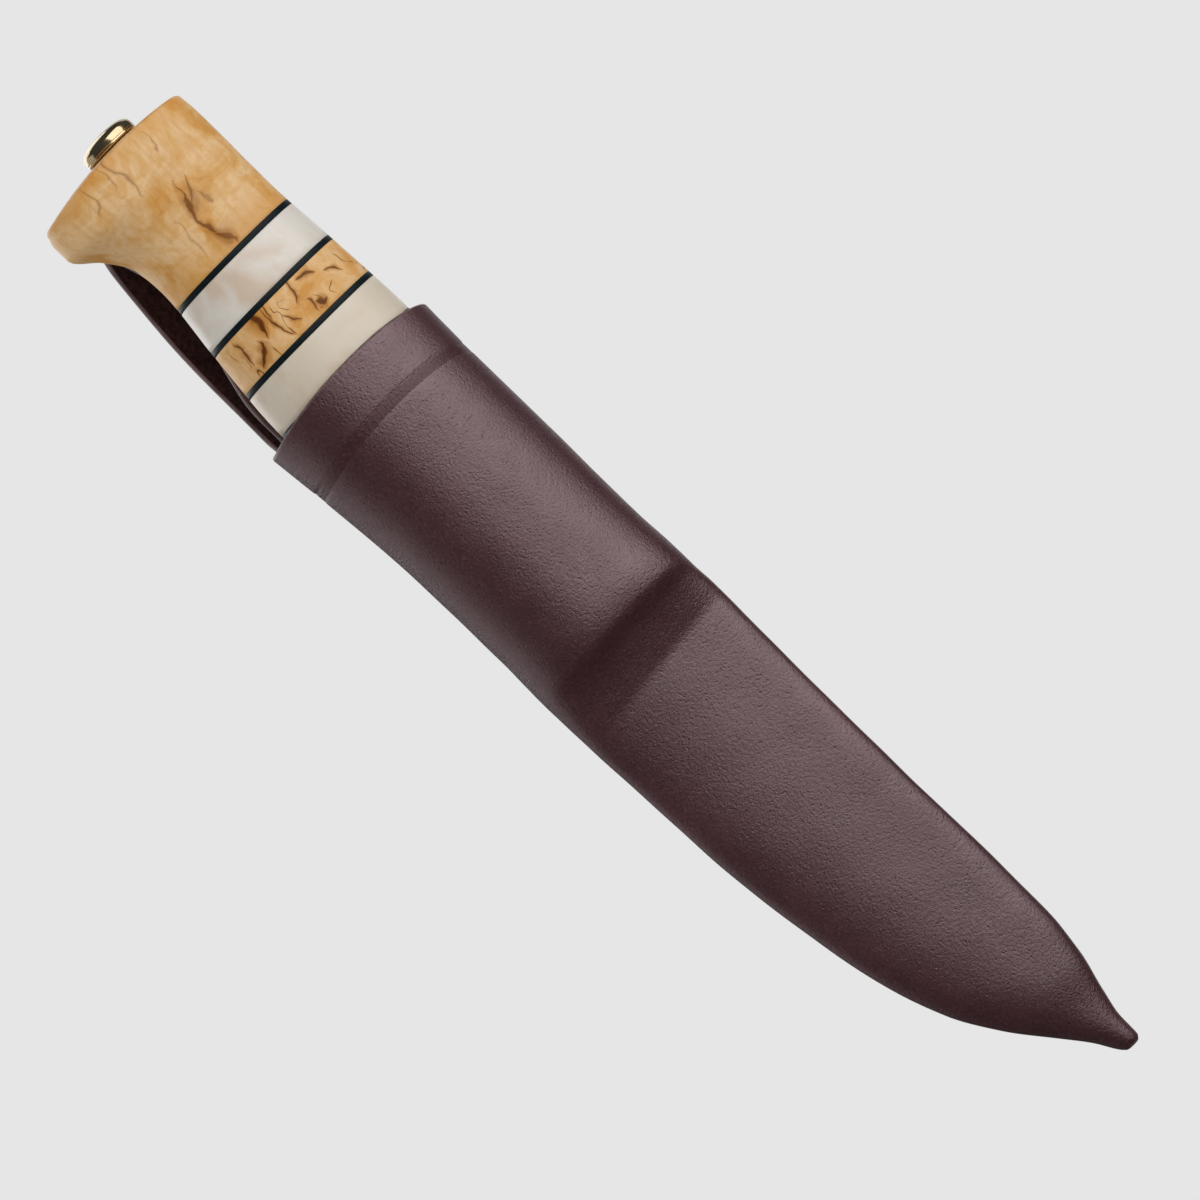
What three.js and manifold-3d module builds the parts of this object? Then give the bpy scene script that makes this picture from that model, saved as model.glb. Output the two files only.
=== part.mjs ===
// A whittling knife in its wet-formed leather sheath, as worn: handle up, hung by the belt loop.
// Millimetres. +Z is up towards the pommel, +X the blade's spine side, -X its edge side,
// -Y the sheath's smooth front and +Y its back, with the seam and the belt loop.
// Distances down the knife are written s: s = 0 at the pommel's end, and z = -s until the last
// step moves the origin to the middle of the belt slot.
import * as THREE from "three";
import { mergeVertices } from "three/addons/utils/BufferGeometryUtils.js";
import Module from "manifold-3d";

const wasm = await Module();
wasm.setup();

// ---- Driving dimensions ------------------------------------------------------------------

const GAP = 0.3; // running or assembly gap between neighbouring pieces

// Handle: [s, spine side, edge side, half depth]
const HANDLE_OUTLINE = [
  [0, 14.2, -18.7, 11.5],
  [3, 14.4, -19.2, 11.7],
  [8, 14.5, -19.2, 11.6],
  [12.5, 14.5, -15.1, 11.1],
  [17.5, 14.4, -12.2, 10.6],
  [23, 14.4, -11.7, 10.5],
  [36.7, 15.1, -13.2, 11.3],
  [55, 15.8, -14.8, 12.1],
  [66, 15.8, -14.8, 12.1],
  [84, 15.7, -13.8, 11.7],
  [100, 15.4, -13.2, 11.0],
  [112, 14.8, -12.6, 9.9],
  [116, 13.9, -11.8, 9.0],
];
const HANDLE_SQUARENESS = 2.25;
const POMMEL_DOME_RADIUS = 75;
const POMMEL_CORNER = 0.8;

// Stack of rings between the pommel and the long front grip
const SPACER = 1.1;
const RING_PITCH = 9.2;
const FIRST_SPACER = 27.05;
const FRONT_SPACER = 111;
const BOLSTER_END = 116;

// Tang button
const NUT_RADIUS = 5.35;
const NUT_HEIGHT = 3.15;
const NUT_SIDE = 0.9; // height of the straight side below the dome
const NUT_SQUARENESS = 2.8;
const ROD_RADIUS = 2;
const ROD_END = -1.6;

// Blade and tang
const BLADE_HALF = 1.5;
const TIP_HALF = 0.8; // the blade thins towards its tip
const TAPER_START = 190;
const TANG_FRONT = 4.5; // half width where the tang meets the blade
const TANG_REAR = 2.8;
const TANG_ROD_START = 20;
const BEVEL_WIDTH = 8.5;
const BEVEL_SHARE = 0.8; // most of the blade's height that the bevel takes near the tip
const EDGE_HALF = 0.12;
// [s, spine, edge]
const BLADE_OUTLINE = [
  [116, 13.4, -10.9],
  [150, 13.5, -10.4],
  [166, 13.5, -9.4],
  [180, 13.5, -7.7],
  [192, 13.4, -5.2],
  [202, 13.1, -2.0],
  [208, 12.7, 1.0],
  [212, 12.2, 4.0],
  [214.5, 11.6, 7.4],
  [215.6, 10.9, 9.8],
];

// Sheath: [s, spine side, edge side, front depth, back depth, squareness by the spine, by the edge,
// x of the deepest line]
const SHEATH_OUTLINE = [
  [56, 18.2, -18.8, 14.6, 14.6, 2.3, 2.3, -0.3],
  [60, 18.1, -18.4, 14.6, 14.6, 2.3, 2.3, -0.2],
  [68, 18.0, -17.6, 14.5, 14.6, 2.3, 2.3, 0.2],
  [84, 18.1, -16.4, 14.2, 14.3, 2.3, 2.3, 0.8],
  [100, 18.1, -16.0, 13.7, 13.4, 2.4, 2.3, 1],
  [108, 18.2, -16.0, 13.5, 12.9, 2.5, 2.3, 1.2],
  [113, 18.3, -16.2, 13.4, 12.5, 2.7, 2.3, 1.5],
  [116.5, 18.3, -16.3, 12.8, 11.8, 2.9, 2.3, 2],
  [120, 18.4, -16.4, 9.4, 9.5, 3.5, 2.2, 2.8],
  [124, 18.6, -16.4, 7.2, 7.2, 4.4, 2.1, 3.8],
  [127, 18.6, -16.3, 6.2, 6.2, 5.2, 2.1, 4.4],
  [140, 18.5, -15.8, 6, 6, 5.8, 2.1, 5.2],
  [156, 18.3, -15.1, 6, 6, 6, 2.1, 5.6],
  [172, 18.4, -13.5, 5.9, 5.9, 5.8, 2.1, 6.2],
  [188, 18.7, -10.9, 5.7, 5.7, 5.2, 2.1, 7.2],
  [204, 18.7, -6, 5.5, 5.5, 4.4, 2.1, 8.8],
  [212, 17.9, -1.4, 5.2, 5.2, 3.2, 2.1, 9.8],
  [220, 16, 4.7, 3.9, 3.9, 2.5, 2.2, 11],
  [225, 15, 8.5, 3.2, 3.2, 2.2, 2.2, 11.9],
  [229, 14.9, 10.9, 2.6, 2.6, 2.2, 2.2, 12.9],
];
const LEATHER = 2.2;
const MOUTH_SIDE = 56.1;
const MOUTH_RISE = 2.3; // how far the front of the mouth stands above its sides
const MOUTH_ROUND = 0.6;
const LEVEL_START = 70; // the mouth's curve levels out between these
const LEVEL_END = 104;
const SLANT = 0.09; // how much later the front's shoulder falls away, per mm towards the edge side
const SLANT_FROM_X = 14;
const CREASE = 66.4; // the line pressed round the leather below the mouth
const CREASE_WIDTH = 0.6;
const CREASE_DEPTH = 0.35;
const NUB_ROUNDING = 0.8;
const CAVITY_END = 219;
const NUB_END = 230;

// Moulded blade liner inside the sheath
const LINER_START = 127.5;
const LINER_END = 218;
const LINER_WALL = 1.2;
const LINER_HALF = 3.4;
const LINER_FLOOR = 1.6;
const LINER_SLOT_SQUARENESS = 6; // by the blade's spine
const LINER_SIDES = 32;

// Belt loop: one strap folded over, its two ends riveted together to the sheath's back
const STRAP = 2.1;
const STRAP_HALF_WIDTH = 13.5;
const STRAP_CORNER = 3; // corner radius of the strap's tail, seen from behind
const STRAP_STEPS_ACROSS = 14;
const LOOP_TOP = 10.6;
const FOLD_NARROWING = 2.4; // how much less half width the strap has at its fold
const WAIST_NARROWING = 4.6; // the same at the near layer's waist, behind the handle's own waist
const WAIST_TOP = 22;
const WAIST_MIDDLE = 26;
const WAIST_BOTTOM = 52;
const FOLD_SPREAD = 1.2; // how far the fold's curve draws in from each layer
const SLOT_DEPTH = 7;
const SLOT_TOP = 18; // the near layer is straight between these
const SLOT_BOTTOM = 45;
const FAR_BOTTOM = 52; // the far layer stays out to here and lies on the other tail from FAR_JOIN
const FAR_JOIN = 65;
const NEAR_INNER = 13.6; // depth of the near layer's face towards the handle
const TAIL_END = 80;

// Rivets through both tails and the sheath's back
const RIVET_S = 70;
const RIVET_X = 6;
const RIVET_SHANK = 1.5;
const RIVET_SHANK_REACH = 0.8; // how far the post enters its cap
const RIVET_HEAD = 3;
const RIVET_HEAD_HEIGHT = 0.6;
const RIVET_SEAT = -1.9;
const RIVET_CAP = 4.2;
const RIVET_CAP_RIM = 0.4;
const RIVET_CAP_HEIGHT = 1.6;

// Seam down the middle of the back
const SEAM_HALF_WIDTH = 0.5;
const SEAM_PROUD = 0.3; // how far the notch's tool stands out of the leather
const SEAM_DEPTH = 0.8;
const THREAD_RADIUS = 0.4;
const STITCH = 2.6;
const STITCH_REACH = 2.2;
const SEAM_START = TAIL_END + 2;
const SEAM_END = 222;

// ---- Colours -----------------------------------------------------------------------------

const finish = (color, roughness, metalness = 0) =>
  new THREE.MeshStandardMaterial({ color, roughness, metalness });

const BIRCH = finish(0xd9a866, 0.4);
const ANTLER = finish(0xdcd3c4, 0.35);
const FIBRE = finish(0x14181a, 0.5);
const STEEL = finish(0xc4c7c9, 0.25, 1);
const BRASS = finish(0xc9a75a, 0.2, 1);
const LEATHER_BROWN = finish(0x462c2f, 0.45);
const LINER_BLACK = finish(0x1b1b1d, 0.55);
const THREAD_BROWN = finish(0x2b1a18, 0.8);

// ---- Outlines as functions of s ----------------------------------------------------------

// A smooth curve through [s, value] rows that never overshoots between them.
function curveThrough(rows, column) {
  const slope = (i) =>
    (rows[i + 1][column] - rows[i][column]) / (rows[i + 1][0] - rows[i][0]);
  const tangent = (i) => {
    if (i === 0) return slope(0);
    if (i === rows.length - 1) return slope(i - 1);
    const before = slope(i - 1);
    const after = slope(i);
    return before * after <= 0 ? 0 : (2 * before * after) / (before + after);
  };
  return (s) => {
    const last = rows.length - 2;
    let i = 0;
    while (i < last && s > rows[i + 1][0]) i += 1;
    const span = rows[i + 1][0] - rows[i][0];
    const t = THREE.MathUtils.clamp((s - rows[i][0]) / span, 0, 1);
    const rise = rows[i + 1][column] - rows[i][column];
    const ease = t * t * (3 - 2 * t);
    const lead = t * (1 - t) * (1 - t) * tangent(i);
    const trail = t * t * (t - 1) * tangent(i + 1);
    return rows[i][column] + rise * ease + span * (lead + trail);
  };
}

// A section's outline: quarters of superellipses, angle 0 at the spine. The deepest line is at ridge.
// section = { spine, edge, front, back, squareSpine, squareEdge, ridge }
function outlinePoint(section, angle) {
  const c = Math.cos(angle);
  const d = Math.sin(angle);
  const [side, square] =
    c > 0 ? [section.spine, section.squareSpine] : [section.edge, section.squareEdge];
  const depth = d > 0 ? section.back : section.front;
  return new THREE.Vector2(
    section.ridge + (side - section.ridge) * Math.abs(c) ** (2 / square),
    depth * Math.sign(d) * Math.abs(d) ** (2 / square),
  );
}

// A ring of points round a section; sAt(point, angle) gives each point's distance down the knife.
function ring(section, sAt, sides) {
  const points = [];
  for (let i = 0; i < sides; i += 1) {
    const angle = (2 * Math.PI * i) / sides;
    const p = outlinePoint(section, angle);
    points.push(new THREE.Vector3(p.x, p.y, -sAt(p, angle)));
  }
  return points;
}

// The same section with every side moved in by a distance.
function inset(section, by) {
  return {
    ...section,
    spine: section.spine - by,
    edge: section.edge + by,
    front: section.front - by,
    back: section.back - by,
  };
}

// The same section shrunk about its deepest line.
function scaled(section, share) {
  return {
    ...section,
    spine: THREE.MathUtils.lerp(section.ridge, section.spine, share),
    edge: THREE.MathUtils.lerp(section.ridge, section.edge, share),
    front: section.front * share,
    back: section.back * share,
  };
}

const handleSpine = curveThrough(HANDLE_OUTLINE, 1);
const handleEdge = curveThrough(HANDLE_OUTLINE, 2);
const handleDepth = curveThrough(HANDLE_OUTLINE, 3);
function handleSection(s) {
  return {
    spine: handleSpine(s),
    edge: handleEdge(s),
    front: handleDepth(s),
    back: handleDepth(s),
    squareSpine: HANDLE_SQUARENESS,
    squareEdge: HANDLE_SQUARENESS,
    ridge: (handleSpine(s) + handleEdge(s)) / 2,
  };
}

const [
  sheathSpine,
  sheathEdge,
  sheathFront,
  sheathBack,
  sheathSquareSpine,
  sheathSquareEdge,
  sheathRidge,
] = [1, 2, 3, 4, 5, 6, 7].map((column) => curveThrough(SHEATH_OUTLINE, column));
function sheathSection(s) {
  return {
    spine: sheathSpine(s),
    edge: sheathEdge(s),
    front: sheathFront(s),
    back: sheathBack(s),
    squareSpine: sheathSquareSpine(s),
    squareEdge: sheathSquareEdge(s),
    ridge: sheathRidge(s),
  };
}

// How far the sheath's outer back surface lies behind the knife's plane, x to one side.
function sheathBackAt(s, x) {
  const section = sheathSection(s);
  const [side, square] =
    x > section.ridge ? [section.spine, section.squareSpine] : [section.edge, section.squareEdge];
  const across = (x - section.ridge) / (side - section.ridge);
  return section.back * (1 - across ** square) ** (1 / square);
}

// ---- Meshes from rings -------------------------------------------------------------------

function geometryOf(points, faces) {
  const geometry = new THREE.BufferGeometry().setFromPoints(points);
  geometry.setIndex(faces.flat());
  return geometry;
}

// Triangles between two rings whose points start at a and b, b lying further down the knife.
function band(a, b, sides, faces) {
  for (let i = 0; i < sides; i += 1) {
    const j = (i + 1) % sides;
    faces.push([a + i, b + i, b + j], [a + i, b + j, a + j]);
  }
}

// A fan from a centre point to a ring; facing is 1 for the upper end and -1 for the lower.
function fan(centre, start, sides, facing, faces) {
  for (let i = 0; i < sides; i += 1) {
    const j = (i + 1) % sides;
    faces.push(facing > 0 ? [centre, start + i, start + j] : [centre, start + j, start + i]);
  }
}

function middleOf(points) {
  const sum = new THREE.Vector3();
  points.forEach((p) => sum.add(p));
  return sum.divideScalar(points.length);
}

// A solid through rings that run down the knife, closed at both ends.
function loft(rings) {
  const sides = rings[0].length;
  const points = rings.flat();
  const faces = [];
  for (let k = 0; k + 1 < rings.length; k += 1) band(k * sides, (k + 1) * sides, sides, faces);
  points.push(middleOf(rings[0]), middleOf(rings.at(-1)));
  fan(points.length - 2, 0, sides, 1, faces);
  fan(points.length - 1, (rings.length - 1) * sides, sides, -1, faces);
  return geometryOf(points, faces);
}

// A pocket open at its upper end: up the inner rings to the rim, then down the outer ones.
function pocket(outer, inner) {
  return loft([...inner.slice().reverse(), ...outer]);
}

// ---- Joins and cuts ----------------------------------------------------------------------

function solid(geometry) {
  const bare = geometry.index ? geometry.toNonIndexed() : geometry.clone();
  bare.deleteAttribute("normal");
  bare.deleteAttribute("uv");
  const merged = mergeVertices(bare, 1e-4);
  const mesh = new wasm.Mesh({
    numProp: 3,
    vertProperties: merged.attributes.position.array,
    triVerts: new Uint32Array(merged.index.array),
  });
  return new wasm.Manifold(mesh);
}

function geometryFrom(manifold) {
  const mesh = manifold.getMesh();
  const geometry = new THREE.BufferGeometry();
  geometry.setAttribute("position", new THREE.BufferAttribute(mesh.vertProperties, 3));
  geometry.setIndex(new THREE.BufferAttribute(mesh.triVerts, 1));
  return geometry;
}

function cut(geometry, ...tools) {
  const left = tools.reduce((rest, tool) => rest.subtract(solid(tool)), solid(geometry));
  return geometryFrom(left);
}

function join(...geometries) {
  return geometryFrom(geometries.map(solid).reduce((sum, next) => sum.add(next)));
}

function node(name, geometry, material) {
  const mesh = new THREE.Mesh(geometry, material);
  mesh.name = name;
  return mesh;
}

// Distances from a to b, both included, no further apart than step.
function steps(a, b, step) {
  const count = Math.max(1, Math.ceil(Math.abs(b - a) / step));
  return Array.from({ length: count + 1 }, (_, i) => a + ((b - a) * i) / count);
}

// ---- Knife -------------------------------------------------------------------------------

const HANDLE_SIDES = 36;

function rodAlongZ(radius, from, to, sides = 20) {
  const rod = new THREE.CylinderGeometry(radius, radius, to - from, sides);
  rod.rotateX(Math.PI / 2);
  rod.translate(0, 0, -(from + to) / 2);
  return rod;
}

function tangHalfWidth(s) {
  const t = (s - TANG_ROD_START) / (BOLSTER_END - TANG_ROD_START);
  return THREE.MathUtils.lerp(TANG_REAR, TANG_FRONT, t);
}

// A tapering bar about the tang's own shape, grown by a clearance.
function tangBar(from, to, clearance) {
  const bar = (s) => {
    const w = tangHalfWidth(s) + clearance;
    const d = BLADE_HALF + clearance;
    const corners = [[w, d], [-w, d], [-w, -d], [w, -d]];
    return corners.map(([x, y]) => new THREE.Vector3(x, y, -s));
  };
  return loft([bar(from), bar(to)]);
}

// The way for the tang through the whole handle: a slot in front, a drilled hole behind.
const TANG_HOLE = join(
  tangBar(TANG_ROD_START - 1, BOLSTER_END + 1, GAP),
  rodAlongZ(ROD_RADIUS + GAP, ROD_END - 2, TANG_ROD_START + 1),
);

function handleSlice(name, from, to, material) {
  const rings = steps(from, to, 5).map((s) => ring(handleSection(s), () => s, HANDLE_SIDES));
  return node(name, cut(loft(rings), TANG_HOLE), material);
}

// The pommel's end is a shallow dome with a rounded corner.
function pommel() {
  const dome = (p) => (p.x * p.x + p.y * p.y) / (2 * POMMEL_DOME_RADIUS);
  const end = handleSection(0);
  const face = [0.3, 0.6, 0.85].map((share) => ring(scaled(end, share), dome, HANDLE_SIDES));
  const corner = [
    [1, 0],
    [0.5, 0.13],
    [0.13, 0.5],
    [0, 1],
  ].map(([inward, drop]) =>
    ring(inset(end, inward * POMMEL_CORNER), (p) => dome(p) + drop * POMMEL_CORNER, HANDLE_SIDES),
  );
  const sides = [5, 7, 8.5, 10, 11.5, 13, 15, 17.5, 20, 23, FIRST_SPACER].map((s) =>
    ring(handleSection(s), () => s, HANDLE_SIDES),
  );
  return node("pommel", cut(loft([...face, ...corner, ...sides]), TANG_HOLE), BIRCH);
}

// The domed button screwed to the end of the tang, with a blind hole for the rod.
function tangNut() {
  const profile = [new THREE.Vector2(0, 0), new THREE.Vector2(NUT_RADIUS, 0)];
  const power = 2 / NUT_SQUARENESS;
  for (const angle of steps(0, Math.PI / 2, Math.PI / 20)) {
    const across = Math.abs(Math.cos(angle)) ** power;
    const rise = (NUT_HEIGHT - NUT_SIDE) * Math.sin(angle) ** power;
    profile.push(new THREE.Vector2(NUT_RADIUS * across, NUT_SIDE + rise));
  }
  const nut = new THREE.LatheGeometry(profile, 32);
  nut.rotateX(Math.PI / 2);
  return node("tang_nut", cut(nut, rodAlongZ(ROD_RADIUS + GAP, ROD_END - GAP, 2)), BRASS);
}

function blade() {
  const spine = curveThrough(BLADE_OUTLINE, 1);
  const edge = curveThrough(BLADE_OUTLINE, 2);
  const tip = BLADE_OUTLINE.at(-1)[0];
  const section = (s) => {
    const height = spine(s) - edge(s);
    const bevel = edge(s) + Math.min(BEVEL_WIDTH, BEVEL_SHARE * height);
    const thinned = THREE.MathUtils.smoothstep(s, TAPER_START, tip);
    const half = THREE.MathUtils.lerp(BLADE_HALF, TIP_HALF, thinned);
    const corners = [
      [spine(s), half],
      [bevel, half],
      [edge(s), EDGE_HALF],
      [edge(s), -EDGE_HALF],
      [bevel, -half],
      [spine(s), -half],
    ];
    return corners.map(([x, y]) => new THREE.Vector3(x, y, -s));
  };
  const stations = [...steps(BOLSTER_END, 190, 10), ...steps(193, 210, 2.5), ...steps(211, tip, 0.8)];
  return node(
    "blade",
    join(
      loft(stations.map(section)),
      tangBar(TANG_ROD_START, BOLSTER_END + 2, 0),
      rodAlongZ(ROD_RADIUS, ROD_END, TANG_ROD_START + 0.5),
    ),
    STEEL,
  );
}

function knife() {
  const group = new THREE.Group();
  group.add(blade(), tangNut(), pommel());
  const rings = [
    ["antler_ring_rear", ANTLER],
    ["birch_ring", BIRCH],
    ["antler_ring_front", ANTLER],
  ];
  rings.forEach(([name, material], i) => {
    const start = FIRST_SPACER + i * RING_PITCH;
    group.add(handleSlice(`fibre_spacer_${i + 1}`, start, start + SPACER, FIBRE));
    group.add(handleSlice(name, start + SPACER, start + RING_PITCH, material));
  });
  const gripSpacer = FIRST_SPACER + rings.length * RING_PITCH;
  group.add(
    handleSlice("fibre_spacer_4", gripSpacer, gripSpacer + SPACER, FIBRE),
    handleSlice("front_grip", gripSpacer + SPACER, FRONT_SPACER, BIRCH),
    handleSlice("fibre_spacer_5", FRONT_SPACER, FRONT_SPACER + SPACER, FIBRE),
    handleSlice("bolster", FRONT_SPACER + SPACER, BOLSTER_END, BRASS),
  );
  return group;
}

// ---- Sheath ------------------------------------------------------------------------------

const SHEATH_SIDES = 36;

// The mouth stands higher at the front than at its sides and back; lower down this levels out.
function mouthRise(s, angle) {
  const front = Math.max(0, -Math.sin(angle));
  return MOUTH_RISE * front * front * (1 - THREE.MathUtils.smoothstep(s, LEVEL_START, LEVEL_END));
}

// The front's shoulder past the bolster runs aslant, further down the knife on the edge side.
function shoulderSlant(s, x, angle) {
  const { smoothstep } = THREE.MathUtils;
  const along = smoothstep(s, 114, 127) * (1 - smoothstep(s, 130, 152));
  const front = smoothstep(-Math.sin(angle), 0, 0.4);
  return SLANT * Math.max(0, SLANT_FROM_X - x) * along * front;
}

function sheathRing(s, wall) {
  const sAt = (p, angle) => s - mouthRise(s, angle) + shoulderSlant(s, p.x, angle);
  return ring(inset(sheathSection(s), wall), sAt, SHEATH_SIDES);
}

// A rivet's parts lie about an axis that leaves the sheath's back square to its surface.
function onRivetAxis(side, geometry) {
  const x = side * RIVET_X;
  const slope = (sheathBackAt(RIVET_S, x + 0.1) - sheathBackAt(RIVET_S, x - 0.1)) / 0.2;
  geometry.rotateZ(Math.atan(slope));
  geometry.translate(x, sheathBackAt(RIVET_S, x), -RIVET_S);
  return geometry;
}

// A cylinder on a rivet's axis between two heights above the sheath's outer surface.
function rivetCylinder(side, radius, from, to) {
  const cylinder = new THREE.CylinderGeometry(radius, radius, to - from, 20);
  cylinder.translate(0, (from + to) / 2, 0);
  return onRivetAxis(side, cylinder);
}

const THROUGH = 8; // reach of a tool that cuts right through the leather

// A V-shaped tool for the line where the leather's two edges meet.
function seamNotch() {
  const past = 2;
  const rings = steps(MOUTH_SIDE - past, NUB_END + past, 6).map((s) => {
    const x = sheathRidge(s);
    const y = sheathBack(s);
    return [
      new THREE.Vector3(x + SEAM_HALF_WIDTH, y + SEAM_PROUD, -s),
      new THREE.Vector3(x - SEAM_HALF_WIDTH, y + SEAM_PROUD, -s),
      new THREE.Vector3(x, y - SEAM_DEPTH, -s),
    ];
  });
  return loft(rings);
}

function sheathShell() {
  const upper = [61];
  const crease = [
    [CREASE - CREASE_WIDTH, 0],
    [CREASE, CREASE_DEPTH],
    [CREASE + CREASE_WIDTH, 0],
  ];
  const handlePart = [69, 76, 84, 94, 104, 110, 113, 115, 116.5, 118, 119.5, 121, 123, 125, 128];
  const bladePart = [132, 144, 156, 166, 176, 185, 193, 200, 206, 211, 216];
  const nub = [220, 223, 226, 229];
  const outer = [
    sheathRing(MOUTH_SIDE, MOUTH_ROUND),
    sheathRing(MOUTH_SIDE + MOUTH_ROUND, 0),
    ...upper.map((s) => sheathRing(s, 0)),
    ...crease.map(([s, depth]) => sheathRing(s, depth)),
    ...[...handlePart, ...bladePart, ...nub].map((s) => sheathRing(s, 0)),
    sheathRing(NUB_END, NUB_ROUNDING),
  ];
  const inner = [MOUTH_SIDE, ...upper, ...handlePart, ...bladePart, CAVITY_END].map((s) =>
    sheathRing(s, LEATHER),
  );
  const holes = [-1, 1].flatMap((side) => [
    rivetCylinder(side, RIVET_SHANK + GAP, -THROUGH, THROUGH),
    rivetCylinder(side, RIVET_HEAD + GAP, -THROUGH, RIVET_SEAT + RIVET_HEAD_HEIGHT + GAP),
  ]);
  return node("sheath_shell", cut(pocket(outer, inner), seamNotch(), ...holes), LEATHER_BROWN);
}

// A stiff moulded sleeve that keeps the edge off the leather.
function bladeLiner() {
  const outerAt = (s) => {
    const inside = inset(sheathSection(s), LEATHER + GAP);
    const depth = Math.min(LINER_HALF, inside.front);
    return { ...inside, front: depth, back: depth };
  };
  const stations = [LINER_START, 132, 140, 156, 172, 184, 194, 202, 208, 213];
  const outer = [...stations, LINER_END].map((s) => ring(outerAt(s), () => s, LINER_SIDES));
  const inner = [...stations, LINER_END - LINER_FLOOR].map((s) => {
    const slot = { ...inset(outerAt(s), LINER_WALL), squareSpine: LINER_SLOT_SQUARENESS };
    return ring(slot, () => s, LINER_SIDES);
  });
  return node("blade_liner", pocket(outer, inner), LINER_BLACK);
}

// The waxed thread, laced from side to side over the line where the leather's edges meet.
function seamThread() {
  const turns = Math.round((SEAM_END - SEAM_START) / STITCH);
  const along = Array.from({ length: turns + 1 }, (_, i) => {
    const s = SEAM_START + (i * (SEAM_END - SEAM_START)) / turns;
    const x = sheathRidge(s);
    const side = i % 2 === 0 ? 1 : -1;
    const narrow = THREE.MathUtils.lerp(1, 0.6, i / turns);
    return new THREE.Vector3(x + side * STITCH_REACH * narrow, sheathBack(s) + GAP + THREAD_RADIUS, -s);
  });
  const section = new THREE.Shape().absarc(0, 0, THREAD_RADIUS, 0, 2 * Math.PI);
  const thread = new THREE.ExtrudeGeometry(section, {
    steps: turns * 3,
    curveSegments: 3,
    extrudePath: new THREE.CatmullRomCurve3(along),
  });
  return node("seam_thread", thread, THREAD_BROWN);
}

// ---- Belt loop ---------------------------------------------------------------------------

// A ring round the strap's section: two faces bowed by dip(x), square edges.
function strapRing(middle, normal, halfWidth, dip) {
  const across = steps(-halfWidth, halfWidth, (2 * halfWidth) / STRAP_STEPS_ACROSS);
  const face = (side) => (x) =>
    new THREE.Vector3(x, middle.y - dip(x), middle.z).addScaledVector(normal, (side * STRAP) / 2);
  return [...across.map(face(1)), ...across.reverse().map(face(-1))];
}

// The middle of one tail, upwards: layer 0 lies on the sheath's back, layer 1 on the other tail.
function tailPath(layer, top) {
  const lift = GAP + STRAP / 2 + layer * (STRAP + GAP);
  const corner = [1, 0.85, 0.55].map((share) => TAIL_END - STRAP_CORNER * (1 - share));
  const stations = [...corner, ...steps(TAIL_END - STRAP_CORNER, top, 4)];
  return stations.map((s) => new THREE.Vector3(0, sheathBackAt(s, 0) + lift, -s));
}

// The strap's middle line from one tail's end, up, over the fold and down to the other tail's end.
function strapPath() {
  const near = NEAR_INNER + STRAP / 2;
  const far = near + STRAP + SLOT_DEPTH;
  const middle = (near + far) / 2;
  const at = (y, s) => new THREE.Vector3(0, y, -s);
  const inner = tailPath(0, MOUTH_SIDE);
  const outer = tailPath(1, FAR_JOIN);
  const flex = (tail, y, top) => {
    const from = tail.at(-1);
    const lead = (-from.z - top) / 3;
    const handles = [at(from.y, -from.z - lead), at(y, top + lead)];
    return new THREE.CubicBezierCurve3(from, ...handles, at(y, top)).getPoints(5).slice(1);
  };
  const fold = (y, bulge) => {
    const handles = [at(y, (SLOT_TOP + LOOP_TOP) / 2), at(y + bulge, LOOP_TOP)];
    return new THREE.CubicBezierCurve3(at(y, SLOT_TOP), ...handles, at(middle, LOOP_TOP)).getPoints(6);
  };
  return [
    ...inner,
    ...flex(inner, near, SLOT_BOTTOM),
    ...fold(near, FOLD_SPREAD),
    ...fold(far, -FOLD_SPREAD).reverse().slice(1),
    ...flex(outer, far, FAR_BOTTOM).reverse(),
    ...outer.reverse(),
  ];
}

// How much less half width each layer has than the tails.
function nearNarrowing(s) {
  const fromFold = THREE.MathUtils.smoothstep(s, LOOP_TOP, WAIST_TOP);
  const waist = THREE.MathUtils.lerp(FOLD_NARROWING, WAIST_NARROWING, fromFold);
  return waist * (1 - THREE.MathUtils.smoothstep(s, WAIST_MIDDLE, WAIST_BOTTOM));
}

function farNarrowing(s) {
  const toFold = Math.max(0, SLOT_BOTTOM - s) / (SLOT_BOTTOM - LOOP_TOP);
  return FOLD_NARROWING * toFold * toFold;
}

function beltLoop() {
  const path = strapPath();
  const fold = path.findIndex((middle) => -middle.z === LOOP_TOP);
  const rings = path.map((middle, i) => {
    const after = path[Math.min(i + 1, path.length - 1)];
    const before = path[Math.max(i - 1, 0)];
    const along = after.clone().sub(before).normalize();
    const normal = new THREE.Vector3(0, along.z, -along.y);
    const s = -middle.z;
    const [flexTop, join] = i < fold ? [SLOT_BOTTOM, MOUTH_SIDE] : [FAR_BOTTOM, FAR_JOIN];
    const place = Math.max(s, join);
    const follow = THREE.MathUtils.smoothstep(s, flexTop, join);
    const dip = (x) => follow * (sheathBackAt(place, 0) - sheathBackAt(place, x));
    const corner = Math.max(0, s - (TAIL_END - STRAP_CORNER)) / STRAP_CORNER;
    const rounded = STRAP_CORNER * (1 - Math.sqrt(1 - corner * corner));
    const halfWidth = STRAP_HALF_WIDTH - rounded - (i < fold ? nearNarrowing(s) : farNarrowing(s));
    return strapRing(middle, normal, halfWidth, dip);
  });
  const holes = [-1, 1].map((side) => rivetCylinder(side, RIVET_SHANK + GAP, -THROUGH, THROUGH));
  return node("belt_loop", cut(loft(rings), ...holes), LEATHER_BROWN);
}

const STACK = 2 * (STRAP + GAP) + GAP; // from the sheath's outer surface to the rivet caps

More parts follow.
